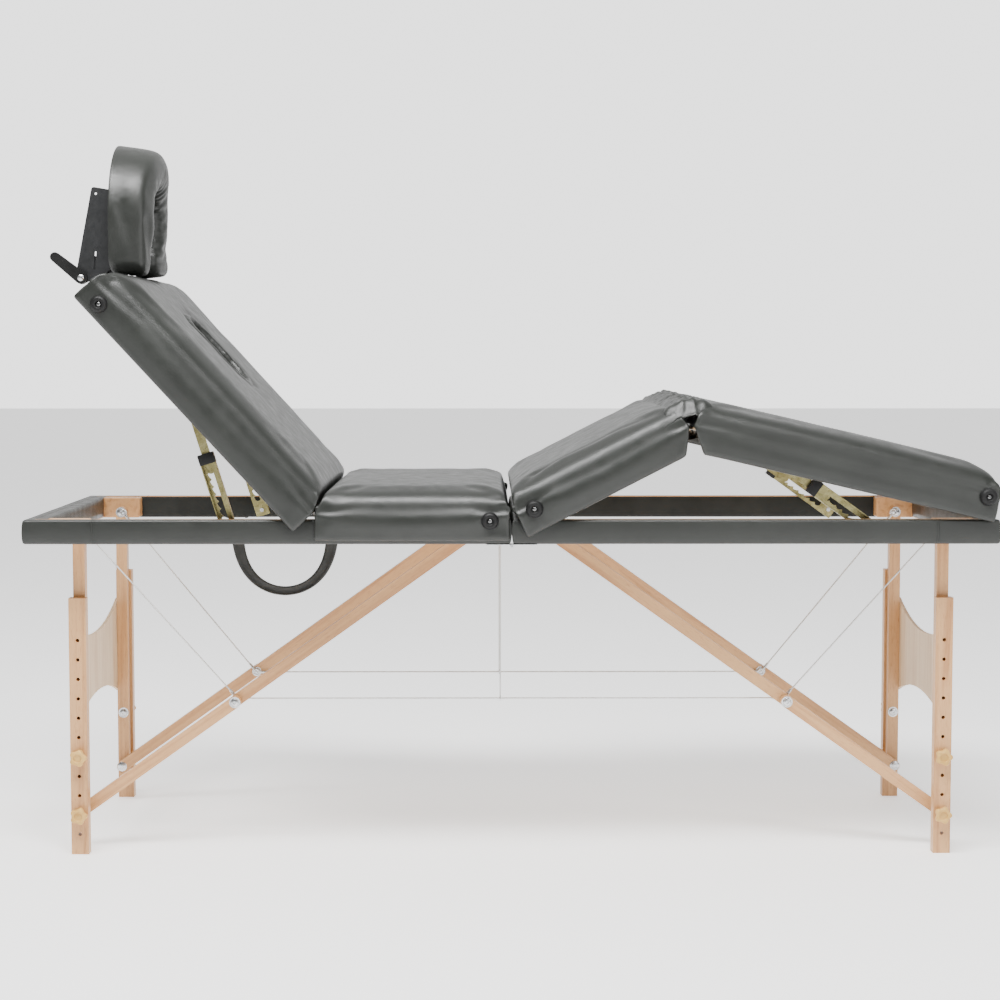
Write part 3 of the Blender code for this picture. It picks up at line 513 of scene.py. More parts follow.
def shell_mesh(section, hole=None):
    """The open box of vinyl: top, two long side walls and two short end walls."""
    below, above = 4, 7
    drop, rise = END_WALL_BOTTOM - section.bottom, section.top - END_WALL_BOTTOM
    levels = [section.bottom + drop * k / below for k in range(below)]
    levels += [END_WALL_BOTTOM + rise * k / above for k in range(above + 1)]
    length = section.end - section.start
    long, wide = max(4, round(length / CELL)), round(2 * section.half / CELL)
    tall = below + above
    bm = bmesh.new()
    made = {}

    def vertex(i, j, k):
        if (i, j, k) not in made:
            u = section.start + length * i / long
            v = -section.half + 2 * section.half * j / wide
            made[i, j, k] = bm.verts.new(shell_point(section, u, v, levels[k]))
        return made[i, j, k]

    def add_face(*corners):
        bm.faces.new([vertex(*corner) for corner in corners])

    for i in range(long):
        for j in range(wide):
            add_face((i, j, tall), (i + 1, j, tall), (i + 1, j + 1, tall), (i, j + 1, tall))
    for i in range(long):
        for k in range(tall):
            for j in (0, wide):
                add_face((i, j, k), (i + 1, j, k), (i + 1, j, k + 1), (i, j, k + 1))
    for j in range(wide):
        for k in range(below, tall):
            for i in (0, long):
                add_face((i, j, k), (i, j + 1, k), (i, j + 1, k + 1), (i, j, k + 1))
    if hole:
        inside = [f for f in bm.faces if hole(f.calc_center_median())]
        bmesh.ops.delete(bm, geom=inside, context="FACES")
        loose = [v for v in bm.verts if not v.link_faces]
        bmesh.ops.delete(bm, geom=loose, context="VERTS")
    bmesh.ops.recalc_face_normals(bm, faces=bm.faces)
    if sum(f.normal.z * f.calc_area() for f in bm.faces) < 0:
        bmesh.ops.reverse_faces(bm, faces=bm.faces)
    return bm


CLOTH_SETTINGS = {
    "quality": 5,
    "mass": 0.3,
    "tension_stiffness": 20,
    "compression_stiffness": 12,
    "shear_stiffness": 8,
    "bending_stiffness": 1.2,
    "use_pressure": True,
    "uniform_pressure_force": 2.4,
    "vertex_group_mass": "pinned",
}


def inflate(piece, pinned, cap):
    """Cloth simulation under light pressure, applied to the mesh and capped."""
    mesh = piece.data
    rest = [vertex.co.copy() for vertex in mesh.vertices]
    group = piece.vertex_groups.new(name="pinned")
    group.add([v.index for v in mesh.vertices if pinned(v.co)], 1.0, "REPLACE")
    cloth = piece.modifiers.new("cloth", "CLOTH")
    for name, value in CLOTH_SETTINGS.items():
        setattr(cloth.settings, name, value)
    cloth.settings.effector_weights.gravity = 0
    cloth.collision_settings.use_collision = False
    cloth.point_cache.frame_end = CLOTH_FRAMES
    scene = bpy.context.scene
    for step in range(1, CLOTH_FRAMES + 1):
        scene.frame_set(step)
    depsgraph = bpy.context.evaluated_depsgraph_get()
    moved = [v.co.copy() for v in piece.evaluated_get(depsgraph).data.vertices]
    piece.modifiers.remove(cloth)
    piece.vertex_groups.remove(group)
    for vertex, start, end in zip(mesh.vertices, rest, moved):
        step = end - start
        if step.length > cap:
            step *= cap / step.length
        vertex.co = start + step
    scene.frame_set(1)


def pucker(section, u, v, n):
    """The dimple and radial creases that a bumper's screw pulls into the near side."""
    if v > -section.half + 0.03:
        return 0.0
    along, up = u - section.bumper.x, n - section.bumper.z
    reach = sqrt(along * along + up * up)
    angle = atan2(up, along)
    dimple = -0.0026 * bell(reach, 0.020)
    folds = 0.0009 * sin(11 * angle + 2 * sin(2 * angle)) * bell(reach - 0.024, 0.010)
    return dimple + folds


def soften(section, seed):
    """Returns the height of the vinyl's own unevenness at a point of a section."""

    def height(u, v, n):
        point = Vector((u, v, n))
        near_end = min(u - section.start, section.end - u)
        level = 0.0008 * wrinkle(point, 6, seed) + 0.0005 * wrinkle(point, 19, seed + 4)
        hinged = near_end if not section.free_end else u - section.start
        hinged = max(0.0, hinged)
        side = smooth_step((abs(v) - section.half + 0.05) / 0.04)
        bunched = (0.0012 + 0.0022 * side) * bell(hinged, 0.030)
        level += bunched * wrinkle((u * 0.30, v * 2.2, n * 1.7), 40, seed + 9)
        pulled = (0.0004 + 0.0014 * side) * bell(hinged - 0.012, 0.035)
        level += pulled * wrinkle((u * 1.2, v * 0.6, n * 1.2 + u * 0.8), 62, seed)
        return level + pucker(section, u, v, n)

    return height


def crease(line_v, start, end, depth):
    """A long shallow fold in the top vinyl that runs along a section."""

    def height(u, v, n):
        if n < 0.02:
            return 0.0
        middle = line_v + 0.006 * sin(pi * (u - start) / (end - start))
        middle += 0.002 * sin(u * 60)
        along = smooth_step((u - start) / 0.05) * smooth_step((end - u) / 0.09)
        return along * depth * (0.6 * bell(v - middle + 0.012, 0.008) - bell(v - middle, 0.0052))

    return height


def press(piece, section, heights, crown):
    """Moves the shell along its normals by the vinyl's heights, then leans its ends."""
    mesh = piece.data
    mesh.update()
    normals = [vertex.normal.copy() for vertex in mesh.vertices]
    length = section.end - section.start
    for vertex, normal in zip(mesh.vertices, normals):
        u, v, n = vertex.co
        rise = sum(height(u, v, n) for height in heights)
        if n > 0.02:
            across = 1 - abs(v / section.half) ** 4
            along = 1 - abs(2 * (u - section.start) / length - 1) ** 6
            rise += crown * max(0.0, across) * max(0.0, along)
        co = vertex.co + normal * rise
        co.x += section.shift(co.x, co.z)
        meet = 0.014 * smooth_step((co.z + 0.004) / 0.014)
        reach, gap = 0.022, 0.0012
        if section.start_lean:
            co.x -= meet * bell(max(0.0, u - section.start), reach)
        if section.end_lean:
            co.x += meet * bell(max(0.0, section.end - u), reach)
        low, high = section.limits(co.z)
        co.x = min(max(co.x, low + gap), high - gap)
        vertex.co = co
    mesh.transform(section.place)
    mesh.update()


def make_section_cushion(section, seed, hole=None, folds=()):
    name = section.name + "_upholstery"
    piece = make_piece(name, shell_mesh(section, hole), VINYL, 180)
    low = section.bottom + 0.02
    short = END_WALL_BOTTOM + 0.012

    def pinned(co):
        at_end = min(co.x - section.start, section.end - co.x) < 0.004
        at_hole = hole is not None and hole(co + (co - HOLE_MIDDLE).normalized() * -0.016)
        return co.z < low or (at_end and co.z < short) or at_hole

    inflate(piece, pinned, CLOTH_CAP)
    heights = [soften(section, seed), *folds]
    press(piece, section, heights, 0.001)
    add_thickness(piece, SKIN)
    add_smoothing(piece)
    attach(piece, section.body, "cushion_vinyl", section.name + "_cushion")


# the face hole in the back section
HOLE_LOW, HOLE_HIGH = 0.280, 0.444
HOLE_RADIUS = 0.055
HOLE_MIDDLE = Vector(((HOLE_LOW + HOLE_HIGH) / 2, 0, 0.048))


def hole_distance(point):
    """Distance outside the racetrack outline of the face hole, negative inside it."""
    reach = (HOLE_HIGH - HOLE_LOW) / 2 - HOLE_RADIUS
    along = abs(point.x - HOLE_MIDDLE.x) - reach
    return sqrt(max(0.0, along) ** 2 + point.y**2) - HOLE_RADIUS


def in_face_hole(point):
    return point.z > 0.02 and hole_distance(point) < 0.004


def racetrack_point(share, offset):
    """A point and its outward direction on the hole's outline, grown by offset."""
    reach = (HOLE_HIGH - HOLE_LOW) / 2 - HOLE_RADIUS
    radius = HOLE_RADIUS + offset
    total = 2 * pi * HOLE_RADIUS + 4 * reach
    run = share * total
    half_turn = pi * HOLE_RADIUS
    middle = HOLE_MIDDLE.x
    if run < half_turn:
        angle = run / HOLE_RADIUS - pi / 2
        return middle + reach + radius * cos(angle), radius * sin(angle)
    run -= half_turn
    if run < 2 * reach:
        return middle + reach - run, radius
    run -= 2 * reach
    if run < half_turn:
        angle = run / HOLE_RADIUS + pi / 2
        return middle - reach + radius * cos(angle), radius * sin(angle)
    run -= half_turn
    return middle - reach + run, -radius


def make_face_hole_collar():
    """The rolled vinyl rim and lining of the face hole."""
    top = BACK_SECTION.top + 0.004
    profile = [
        (0.020, top - 0.0060),
        (0.015, top - 0.0008),
        (0.010, top + 0.0018),
        (0.005, top + 0.0022),
        (0.001, top + 0.0002),
        (-0.0015, top - 0.005),
        (-0.0018, top - 0.012),
        (-0.0006, top - 0.024),
        (0.0000, top - 0.036),
        (0.0002, 0.0062),
        (0.0006, 0.0062),
    ]
    count = 110
    rows = []
    for offset, height in profile:
        row = []
        for step in range(count):
            share = step / count
            around, over = cos(2 * pi * share), sin(2 * pi * share)
            fold = wrinkle((12 * around, 12 * over, offset * 60), 1.0, 3)
            lift = wrinkle((9 * around, 9 * over, 5), 1.0, 8)
            near_top = smooth_step((height - 0.01) / 0.02)
            x, y = racetrack_point(share, offset + 0.0016 * fold * near_top)
            row.append(BACK @ Vector((x, y, height + 0.0014 * lift * near_top)))
        rows.append(row)
    collar = make_sheet("face_hole_collar", rows, VINYL, closed_rows=True)
    add_thickness(collar, 0.0012)
    add_smoothing(collar)
    attach(collar, "back_section", "cushion_vinyl")


def make_peak_bridge():
    """Gathered vinyl that bridges the joint between the thigh and calf sections."""
    half = THIGH_SECTION.half - 0.006
    top = THIGH_SECTION.top - 0.0035
    start = THIGH @ Vector((THIGH_SECTION.end - 0.030, 0, top))
    end = CALF @ Vector((0.030, 0, top))
    across, along = 190, 30
    rows = []
    for i in range(along + 1):
        share = i / along
        base = start.lerp(end, share)
        arch = 0.018 * sin(pi * share) ** 0.8
        row = []
        for j in range(across + 1):
            v = -half + 2 * half * j / across
            fall = 0.030 * smooth_step((abs(v) - half + 0.030) / 0.030) ** 2
            ripple = wrinkle((share * 1.6, v * 11, 0), 4.0, 21) * 0.0050
            ripple += wrinkle((share * 4 + v * 3, v * 30, 0), 3.0, 33) * 0.0032
            ripple *= sin(pi * share) ** 0.6
            row.append((base.x, v, base.z + arch + ripple - fall))
        rows.append(row)
    make_peak_sheet("peak_bridge", rows, VINYL)


def make_peak_under_strip():
    """The strap-like strip that closes the joint between thigh and calf from below."""
    seam = THIGH @ Vector((THIGH_SECTION.end, 0, 0))
    half, across, along = 0.300, 60, 8
    rows = []
    for i in range(along + 1):
        angle = radians(-40 + 80 * i / along)
        x, z = seam.x + 0.030 * sin(angle), seam.z + 0.006 - 0.029 * cos(angle)
        places = [-half + 2 * half * j / across for j in range(across + 1)]
        rows.append([(x, v, z + 0.003 * sin(v * 90)) for v in places])
    make_peak_sheet("peak_under_strip", rows, STRAP_VINYL)


def make_peak_sheet(name, rows, material):
    """A sheet of vinyl, given its thickness and laid between the thigh and the calf section."""
    sheet = make_sheet(name, rows, material)
    solidify_now(sheet, 0.0016)
    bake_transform(sheet)


def solidify_now(piece, thickness):
    """Gives an open sheet its thickness in the mesh itself."""
    skin = add_thickness(piece, thickness, 0)
    bpy.context.view_layer.update()
    depsgraph = bpy.context.evaluated_depsgraph_get()
    mesh = bpy.data.meshes.new_from_object(piece.evaluated_get(depsgraph))
    piece.modifiers.remove(skin)
    old = piece.data
    piece.data = mesh
    bpy.data.meshes.remove(old)


def make_bumper(section):
    """The round rubber bumper on the near side of a section, with its screw."""
    node = section.name + "_bumper"
    low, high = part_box(node)
    middle = (low + high) / 2
    place = facing(-1, middle.x, middle.z, -high.y - 0.0012)
    profile = [(0, 0), (0.0152, 0), (0.0160, 0.0012), (0.0158, 0.0034), (0.0146, 0.0062)]
    profile += [(0.0124, 0.0088), (0.0100, 0.0098), (0.0072, 0.0096), (0.0058, 0.0084)]
    profile += [(0.0052, 0.0058), (0, 0.0058)]
    bumper = bmesh.new()
    add_lathe(bumper, profile, place, 40)
    fit(section.name + "_rubber_bumper", bumper, RUBBER, 50, section.body, "bumper", node)
    profile = [(0, 0.0056), (0.0042, 0.0056), (0.0044, 0.0064), (0.0036, 0.0076), (0.0018, 0.0080)]
    profile += [(0.0014, 0.0068), (0, 0.0068)]
    screw = bmesh.new()
    add_lathe(screw, profile, place)
    fit(node + "_screw", screw, SCREW, 50, section.body, "bumper")


def make_sections():
    fold = crease(-0.290, 0.02, 0.315, 0.0036)
    make_section_cushion(SEAT_SECTION, 1)
    make_section_cushion(BACK_SECTION, 11, in_face_hole)
    make_section_cushion(THIGH_SECTION, 21, None, [fold])
    make_section_cushion(CALF_SECTION, 31)
    make_face_hole_collar()
    make_peak_bridge()
    make_peak_under_strip()
    for section in SECTIONS:
        make_bumper(section)


# ------------------------------------------------------------------------- frame


RAIL_THICK = 0.020
SEAM_X = {"left": -0.760, "right": 0.771}
SEAM_POINTS = 16


def rail_outline(high, thick):
    """Cross-section of a wrapped rail, as (inward, up) points from 0 to its size."""
    points = []
    corner = 0.0048
    small = 0.0025

    def turn(center, radius, start, end, count):
        for step in range(count + 1):
            angle = radians(start + (end - start) * step / count)
            points.append((center[0] + radius * cos(angle), center[1] + radius * sin(angle)))

    turn((corner, corner), corner, 270, 180, 4)
    for share in (0.25, 0.5, 0.75):
        points.append((-0.0012 * sin(pi * share), high * share))
    turn((corner, high - corner), corner, 180, 90, 4)
    turn((thick - small, high - small), small, 90, 0, 2)
    turn((thick - small, small), small, 0, -90, 2)
    return points


def make_rail_wrap(half):
    """Vinyl-wrapped rails of one half, with gathered corners and a charcoal lining."""
    low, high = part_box(half + "_frame_rails")
    outline = rail_outline(high.z - low.z, RAIL_THICK)
    corners = [(low.x, low.y), (high.x, low.y), (high.x, high.y), (low.x, high.y)]
    inward = [(1, 1), (-1, 1), (-1, -1), (1, -1)]
    outward = [(0, -1), (1, 0), (0, 1), (-1, 0)]
    rings = []
    for side in range(4):
        (ax, ay), (bx, by) = corners[side], corners[(side + 1) % 4]
        (ai, aj), (bi, bj) = inward[side], inward[(side + 1) % 4]
        length = max(abs(bx - ax), abs(by - ay))
        count = round(length / 0.011)
        for step in range(count):
            share = step / count
            ring = []
            for depth, height in outline:
                x = ax + ai * depth + (bx + bi * depth - ax - ai * depth) * share
                y = ay + aj * depth + (by + bj * depth - ay - aj * depth) * share
                z = low.z + height
                if depth < RAIL_THICK * 0.6:
                    near = min(share, 1 - share) * length
                    swell = 0.0006 * wrinkle((x, y, z), 14, 5)
                    swell += 0.0012 * bell(near, 0.028) * wrinkle((x, y, z * 0.4), 90, 6)
                    x += outward[side][0] * swell
                    y += outward[side][1] * swell
                ring.append((x, y, z))
            rings.append(ring)
    bm = bmesh.new()
    add_rows(bm, rings, closed_rows=True, closed_ends=True)
    bmesh.ops.recalc_face_normals(bm, faces=bm.faces)
    rim = RAIL_THICK - 0.001
    for face in bm.faces:
        middle = face.calc_center_median()
        inner_x = low.x + rim <= middle.x <= high.x - rim
        inner_y = low.y + rim <= middle.y <= high.y - rim
        if inner_x and inner_y and abs(face.normal.z) < 0.3:
            face.material_index = 1
    wrapping = [RAIL_VINYL, FELT]
    fit(half + "_rail_wrap", bm, wrapping, 50, half + "_frame", "rail_vinyl", half + "_frame_rails")
    for label, side in SIDES:
        make_rail_strip(half, label, side)
        make_rail_seam(half, label, side, SEAM_X[half], outline[:SEAM_POINTS])


def make_rail_strip(half, label, side):
    """The wooden strip, with staples, that holds the vinyl on top of a long rail."""
    low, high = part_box(half + "_frame_rails")
    y = side * (high.y - RAIL_THICK + 0.0022)
    start, end = low.x + RAIL_THICK, high.x - RAIL_THICK
    strip = bmesh.new()
    corners = (start, y - 0.0018, high.z - 0.0020), (end, y + 0.0018, high.z + 0.0001)
    add_block(strip, *corners, Matrix(), 0.0003)
    add_staples(strip, start, end, y, high.z)
    fit(f"{half}_rail_strip_{label}", strip, BEECH_LENGTH, 50, half + "_frame", "beech")


def make_rail_seam(half, label, side, seam_x, outline):
    """Two raised lines where the wrapping of a long rail overlaps."""
    low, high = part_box(half + "_frame_rails")
    seam = bmesh.new()
    for offset, width, proud in ((0, 0.0011, 0.0004), (0.004, 0.0007, 0.0002)):
        rows = []
        for across in (-width, -width * 0.5, width * 0.5, width):
            lift = proud if abs(across) < width else -0.0004
            row = []
            for depth, height in outline:
                out = lift + 0.0005 if depth < 0.006 else 0
                up = min(lift, 0.0004) if height > high.z - low.z - 0.003 else 0
                row.append((seam_x + offset + across, side * (high.y - depth + out), low.z + height + up))
            rows.append(row)
        add_rows(seam, rows)
    fit(f"{half}_rail_seam_{label}", seam, RAIL_VINYL, 180, half + "_frame", "rail_vinyl")


def make_end_cover(half, sign):
    """The flap of wrapping that is folded over the end beam between its two blocks."""
    low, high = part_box(half + "_leg_beam")
    outer = abs(low.x if sign < 0 else high.x)
    inner, wide, block = 0.845, high.y, 0.270
    top = high.z
    rows = []
    for step in range(61):
        y = -wide + 2 * wide * step / 60
        fold = abs(0.0009 * wrinkle((y * 3.0, 1, 0), 8.0, 50))
        over = ((outer, 0.4), (outer - 0.004, 1.0), (inner + 0.007, 1.2), (inner + 0.0010, 1.0))
        row = [(sign * x, y, top + 0.0001 + (0.0004 + 0.4 * fold) * up) for x, up in over]
        if abs(y) < block - 0.002:
            down = ((0, top - 0.001), (fold, top - 0.012), (0.0004, top - 0.028), (0, low.z + 0.003))
            row += [(sign * (inner - 0.0007 - depth), y, z) for depth, z in down]
        else:
            row += [(sign * inner, y, top + 0.0001)] * 4
        rows.append(row)
    bm = bmesh.new()
    add_rows(bm, rows)
    bmesh.ops.remove_doubles(bm, verts=bm.verts, dist=0.00001)
    bmesh.ops.dissolve_degenerate(bm, edges=bm.edges, dist=0.00001)
    cover = make_piece(half + "_end_cover", bm, RAIL_VINYL, 60)
    solidify_now(cover, 0.0006)
    attach(cover, half + "_frame", "rail_vinyl")


def add_staples(bm, start, end, y, top):
    """Fine wire staples along the strip that holds the wrapped vinyl."""
    count = int((end - start) / 0.05)
    for index in range(count):
        x = start + (index + 0.5) * (end - start) / count
        corners = (x - 0.0045, y - 0.0004, top), (x + 0.0045, y + 0.0004, top + 0.0003)
        add_block(bm, *corners, Matrix(), 0.0001)


WOOD = {
    "leg_beam": BEECH_ACROSS,
    "strut_beam": BEECH_ACROSS,
    "upper_leg": BEECH_UP,
    "lower_leg": BEECH_UP,
    "leg_panel": PANEL_WOOD,
}


def paint(node, material, edge):
    """Gives a CAD solid its material and rounds its sharp edges where it shows."""
    node.data.materials.clear()
    node.data.materials.append(material)
    node.data.shade_smooth()
    node.data.set_sharp_from_angle(angle=radians(35))
    bevel = node.modifiers.new("eased_edges", "BEVEL")
    bevel.width = edge
    bevel.segments = 2
    bevel.limit_method = "ANGLE"
    bevel.angle_limit = radians(50)
    bevel.harden_normals = False


def finish_nodes():
    """The CAD solids that stay visible: wood, stays and the metal of the face cradle."""
    strut_wood = {}
    for half, _ in HALVES:
        run = joint_point(half + "_upper_strut_turn") - joint_point(half + "_lower_strut_turn")
        strut_wood[half] = beech(half + "_strut_beech", (0, atan2(run.x, run.z), 0))
    for name, node in NODES.items():
        half, _, kind = name.partition("_")
        kind = kind.replace("_near", "").replace("_far", "")
        if kind in WOOD:
            paint(node, WOOD[kind], 0.0012)
        elif kind in ("lower_strut", "upper_strut"):
            paint(node, strut_wood[half], 0.0012)
        elif name in ("cradle_frame", "cradle_bracket"):
            paint(node, BLACK_METAL, 0.0004)
        elif name in ("cradle_board", "cradle_lever"):
            paint(node, BLACK_PLASTIC, 0.0018)
        elif name.endswith("_board"):
            paint(node, BOARD_WOOD, 0.0008)
        elif "_stay_" in name:
            paint(node, ZINC, 0.0003)


# ---------------------------------------------------------------------- fittings


UPSIDE_DOWN = Matrix.Rotation(pi, 4, "X")
CAP_START, CAP_END = 0.1310, 0.1512
CAP_HALF = 0.0152


def add_low_bolt(bm, place, length):
    """A flat-headed bolt for the tight gap between two struts."""
    head = [(0, -0.0002), (0.0098, -0.0002), (0.0098, 0.0009), (0.0090, 0.0014), (0, 0.0014)]
    add_lathe(bm, head, place, 32)
    add_pin(bm, place, 0.0038, -length, 0)


def add_bolt(bm, place, length):
    """A washer, a domed head with a drive recess, and a shank into local -Z."""
    add_pin(bm, place, 0.0105, -0.0002, 0.0010, 32)
    head = 0.0078
    profile = [(0, 0.0009), (head, 0.0009), (head, 0.0020), (head * 0.86, 0.0036)]
    profile += [(head * 0.5, 0.0046), (head * 0.34, 0.0046), (head * 0.30, 0.0030), (0, 0.0030)]
    add_lathe(bm, profile, place, 32)
    add_pin(bm, place, 0.0038, -length, 0)


def add_nut(bm, place):
    """A washer with a domed hexagonal nut."""
    add_pin(bm, place, 0.0095, 0, 0.0010, 28)
    nut = [(0, 0.001), (0.0066, 0.001), (0.0066, 0.0048), (0.0055, 0.0056), (0, 0.0056)]
    add_lathe(bm, nut, place, 6)


def add_ring(bm, middle, radius, wire, normal):
    """A wire ring about a point."""
    place = Matrix.Translation(middle) @ turned_to(normal)
    sides, wire_sides = 28, 10
    rows = []
    for step in range(sides):
        angle = 2 * pi * step / sides
        row = []
        for part in range(wire_sides):
            around = 2 * pi * part / wire_sides
            reach = radius + wire * cos(around)
            row.append(place @ Vector((reach * cos(angle), reach * sin(angle), wire * sin(around))))
        rows.append(row)
    add_rows(bm, rows, closed_rows=True, closed_ends=True)


def make_bolts():
    """Bolts at the leg tops, both strut ends and the knees."""
    for half, _ in HALVES:
        leg = joint_point(half + "_leg_fold")
        foot = joint_point(half + "_lower_strut_turn")
        head = joint_point(half + "_upper_strut_turn")
        knee = strut_joint(half)
        for label, side in SIDES:
            upper = inner_outer(f"{half}_upper_leg_{label}")
            lower = inner_outer(f"{half}_lower_strut_{label}")
            top = inner_outer(f"{half}_upper_strut_{label}")
            fixed = bmesh.new()
            add_bolt(fixed, facing(-side, leg.x, leg.z, -upper[0]), 0.080)
            add_bolt(fixed, facing(-side, head.x, head.z, -top[0]), 0.060)
            fit(f"{half}_frame_bolts_{label}", fixed, STEEL, 35, half + "_frame", "cable")
            moving = bmesh.new()
            add_low_bolt(moving, facing(-side, foot.x, foot.z, -lower[0]), 0.074)
            knob = joint_point(f"{half}_upper_knob_{label}_turn")
            add_bolt(moving, facing(-side, knob.x, knob.z, -upper[0]), 0.048)
            fit(f"{half}_leg_bolts_{label}", moving, STEEL, 35, half + "_legs", "cable")
            joint = bmesh.new()
            add_bolt(joint, facing(side, knee.x, knee.z, lower[1]), lower[1] - top[0] + 0.004)
            add_nut(joint, facing(-side, knee.x, knee.z, -top[0]))
            fit(f"{half}_knee_bolt_{label}", joint, STEEL, 35, half + "_upper_struts", "cable")


def inner_outer(node):
    """A node's least and greatest distance from the middle plane."""
    low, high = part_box(node)
    return sorted((abs(low.y), abs(high.y)))


def strut_joint(half):
    """Where the two struts of a half meet, from the struts' own boxes."""
    foot = joint_point(half + "_lower_strut_turn")
    head = joint_point(half + "_upper_strut_turn")
    run = (foot - head).normalized()
    end_margin = 0.011
    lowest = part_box(half + "_upper_strut_near")[0].z
    return head + run * (head.z - lowest - end_margin) / -run.z


def knob_row(radius, lobe, height, place, count=60):
    row = []
    for step in range(count):
        angle = 2 * pi * step / count
        reach = radius - lobe * (1 - cos(5 * angle)) / 2
        row.append(place @ Vector((reach * cos(angle), reach * sin(angle), height)))
    return row


def make_knob(half, level, label, side):
    """A five-lobed clamping knob with a boss and a recessed top."""
    node = f"{half}_{level}_knob_{label}"
    near, far = inner_outer(node)
    middle = joint_point(node + "_turn")
    place = facing(side, middle.x, middle.z, near)
    thick = far - near
    grip = 0.012
    base = thick - grip
    profile = [(0.0088, 0, 0), (0.0090, 0, base * 0.8), (0.0096, 0, base)]
    profile.append((0.0138, 0.0022, base + 0.0004))
    for share, inset in ((0.10, 0.0008), (0.25, 0.0), (0.72, 0.0002), (0.90, 0.0012)):
        profile.append((0.0165 - inset, 0.0035, base + grip * share))
    profile += [(0.0132, 0.0022, thick - 0.0001), (0.0090, 0.0004, thick)]
    profile += [(0.0074, 0, thick - 0.0008), (0.0068, 0, thick - 0.0030)]
    profile.append((0.0008, 0, thick - 0.0032))
    rows = [knob_row(radius, lobe, height, place) for radius, lobe, height in profile]
    piece = make_sheet(node + "_shape", rows, KNOB_PLASTIC, 60, closed_rows=True, cap=True)
    attach(piece, node, "knob", node)


def make_knobs():
    for half, _ in HALVES:
        for level in ("foot", "upper"):
            for label, side in SIDES:
                make_knob(half, level, label, side)


def make_stay_fittings():
    """Rivets at both ends of each ratchet stay, and the black cap on its channel."""
    stays = (("back", "left_frame", BACK_SECTION), ("calf", "right_frame", CALF_SECTION))
    profile = [(0, 0.0010), (0.0072, 0.0010), (0.0074, 0.0022), (0.0052, 0.0040), (0, 0.0046)]
    for prefix, frame_body, section in stays:
        foot = joint_point(prefix + "_stay_channel_turn")
        top = joint_point(prefix + "_stay_bar_turn")
        base = tilted(foot.x, foot.z, (top.x - foot.x, top.z - foot.z))
        for label, side in SIDES:
            near, far = inner_outer(f"{prefix}_stay_channel_{label}")
            rivet = bmesh.new()
            add_lathe(rivet, profile, facing(side, foot.x, foot.z, near + 0.0010), 28)
            add_pin(rivet, facing(side, foot.x, foot.z, near), 0.0040, -0.0030, 0.026)
            fit(f"{prefix}_stay_rivet_{label}", rivet, STEEL, 40, frame_body, "stay")
            bar_near = inner_outer(f"{prefix}_stay_bar_{label}")[0]
            pin = bmesh.new()
            add_lathe(pin, profile, facing(-side, top.x, top.z, -(bar_near - 0.0016)), 28)
            add_pin(pin, facing(side, top.x, top.z, bar_near), 0.0038, -0.004, 0.0022)
            add_lug(pin, top, side, bar_near, section)
            fit(f"{prefix}_stay_lug_{label}", pin, ZINC, 40, section.body, "stay")
            cap = bmesh.new()
            y_low, y_high = sorted((side * (near - 0.0006), side * (far + 0.0006)))
            corners = (CAP_START, y_low, -CAP_HALF), (CAP_END, y_high, CAP_HALF)
            add_block(cap, *corners, base, 0.0022)
            channels = prefix + "_stay_channels"
            fit(f"{prefix}_stay_cap_{label}", cap, BLACK_PLASTIC, 40, channels, "black_plastic")


def add_lug(bm, top, side, near, section):
    """The folded bracket that ties a stay's bar to the section's board."""
    u = (section.place.inverted() @ Vector((top.x, 0, top.z))).x
    plates = (
        (0.012, 0.0004, 0.0026, -0.032, -0.0065),
        (0.016, 0.0026, 0.026, -0.0088, -0.0064),
    )
    for half_long, outer, inner, bottom, roof in plates:
        y_low, y_high = sorted((side * (near - outer), side * (near - inner)))
        corners = (u - half_long, y_low, bottom), (u + half_long, y_high, roof)
        add_block(bm, *corners, section.place, 0.0006)


def make_fold_hinges():
    """Butt hinges under the frame's fold."""
    fold = joint_point("half_fold")
    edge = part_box("left_frame_rails")[1].y
    screw = [(0, -0.0002), (0.0040, -0.0002), (0.0032, 0.0010), (0, 0.0012)]
    bottom, top = fold.z + 0.0012, fold.z + 0.0029
    for label, side in SIDES:
        y = side * (edge - 0.010)
        barrel = bmesh.new()
        add_pin(barrel, facing(side, fold.x, fold.z, abs(y) - 0.009), 0.0030, 0, 0.018)
        fit("fold_hinge_pin_" + label, barrel, STEEL, 40, "left_frame", "cable")
        for half, sign in HALVES:
            leaf = bmesh.new()
            start, end = sorted((sign * 0.0015, sign * 0.046))
            corners = (start, y - 0.0085, bottom), (end, y + 0.0085, top)
            add_block(leaf, *corners, Matrix(), 0.0004)
            for reach in (0.016, 0.036):
                spot = Matrix.Translation((sign * reach, y, bottom)) @ UPSIDE_DOWN
                add_lathe(leaf, screw, spot, 18)
            fit(f"fold_hinge_leaf_{half}_{label}", leaf, STEEL, 40, half + "_frame", "cable")


def make_section_hinges():
    """Butt hinges between the boards of two sections."""
    joints = (
        ("back_hinge", joint_point("back_recline"), "left_frame", SEAT, "back_section", BACK),
        ("peak_hinge", joint_point("calf_bend"), "thigh_section", THIGH, "calf_section", CALF),
    )
    for name, place, first, first_frame, second, second_frame in joints:
        for index, y in enumerate((-0.24, 0.0, 0.24)):
            barrel = bmesh.new()
            add_pin(barrel, facing(1, place.x, place.z, y - 0.030), 0.0034, 0, 0.060)
            add_leaf(barrel, first_frame, place, y)
            fit(f"{name}_{index}", barrel, STEEL, 40, first, "cable")
            leaf = bmesh.new()
            add_leaf(leaf, second_frame, place, y)
            fit(f"{name}_leaf_{index}", leaf, STEEL, 40, second, "cable")


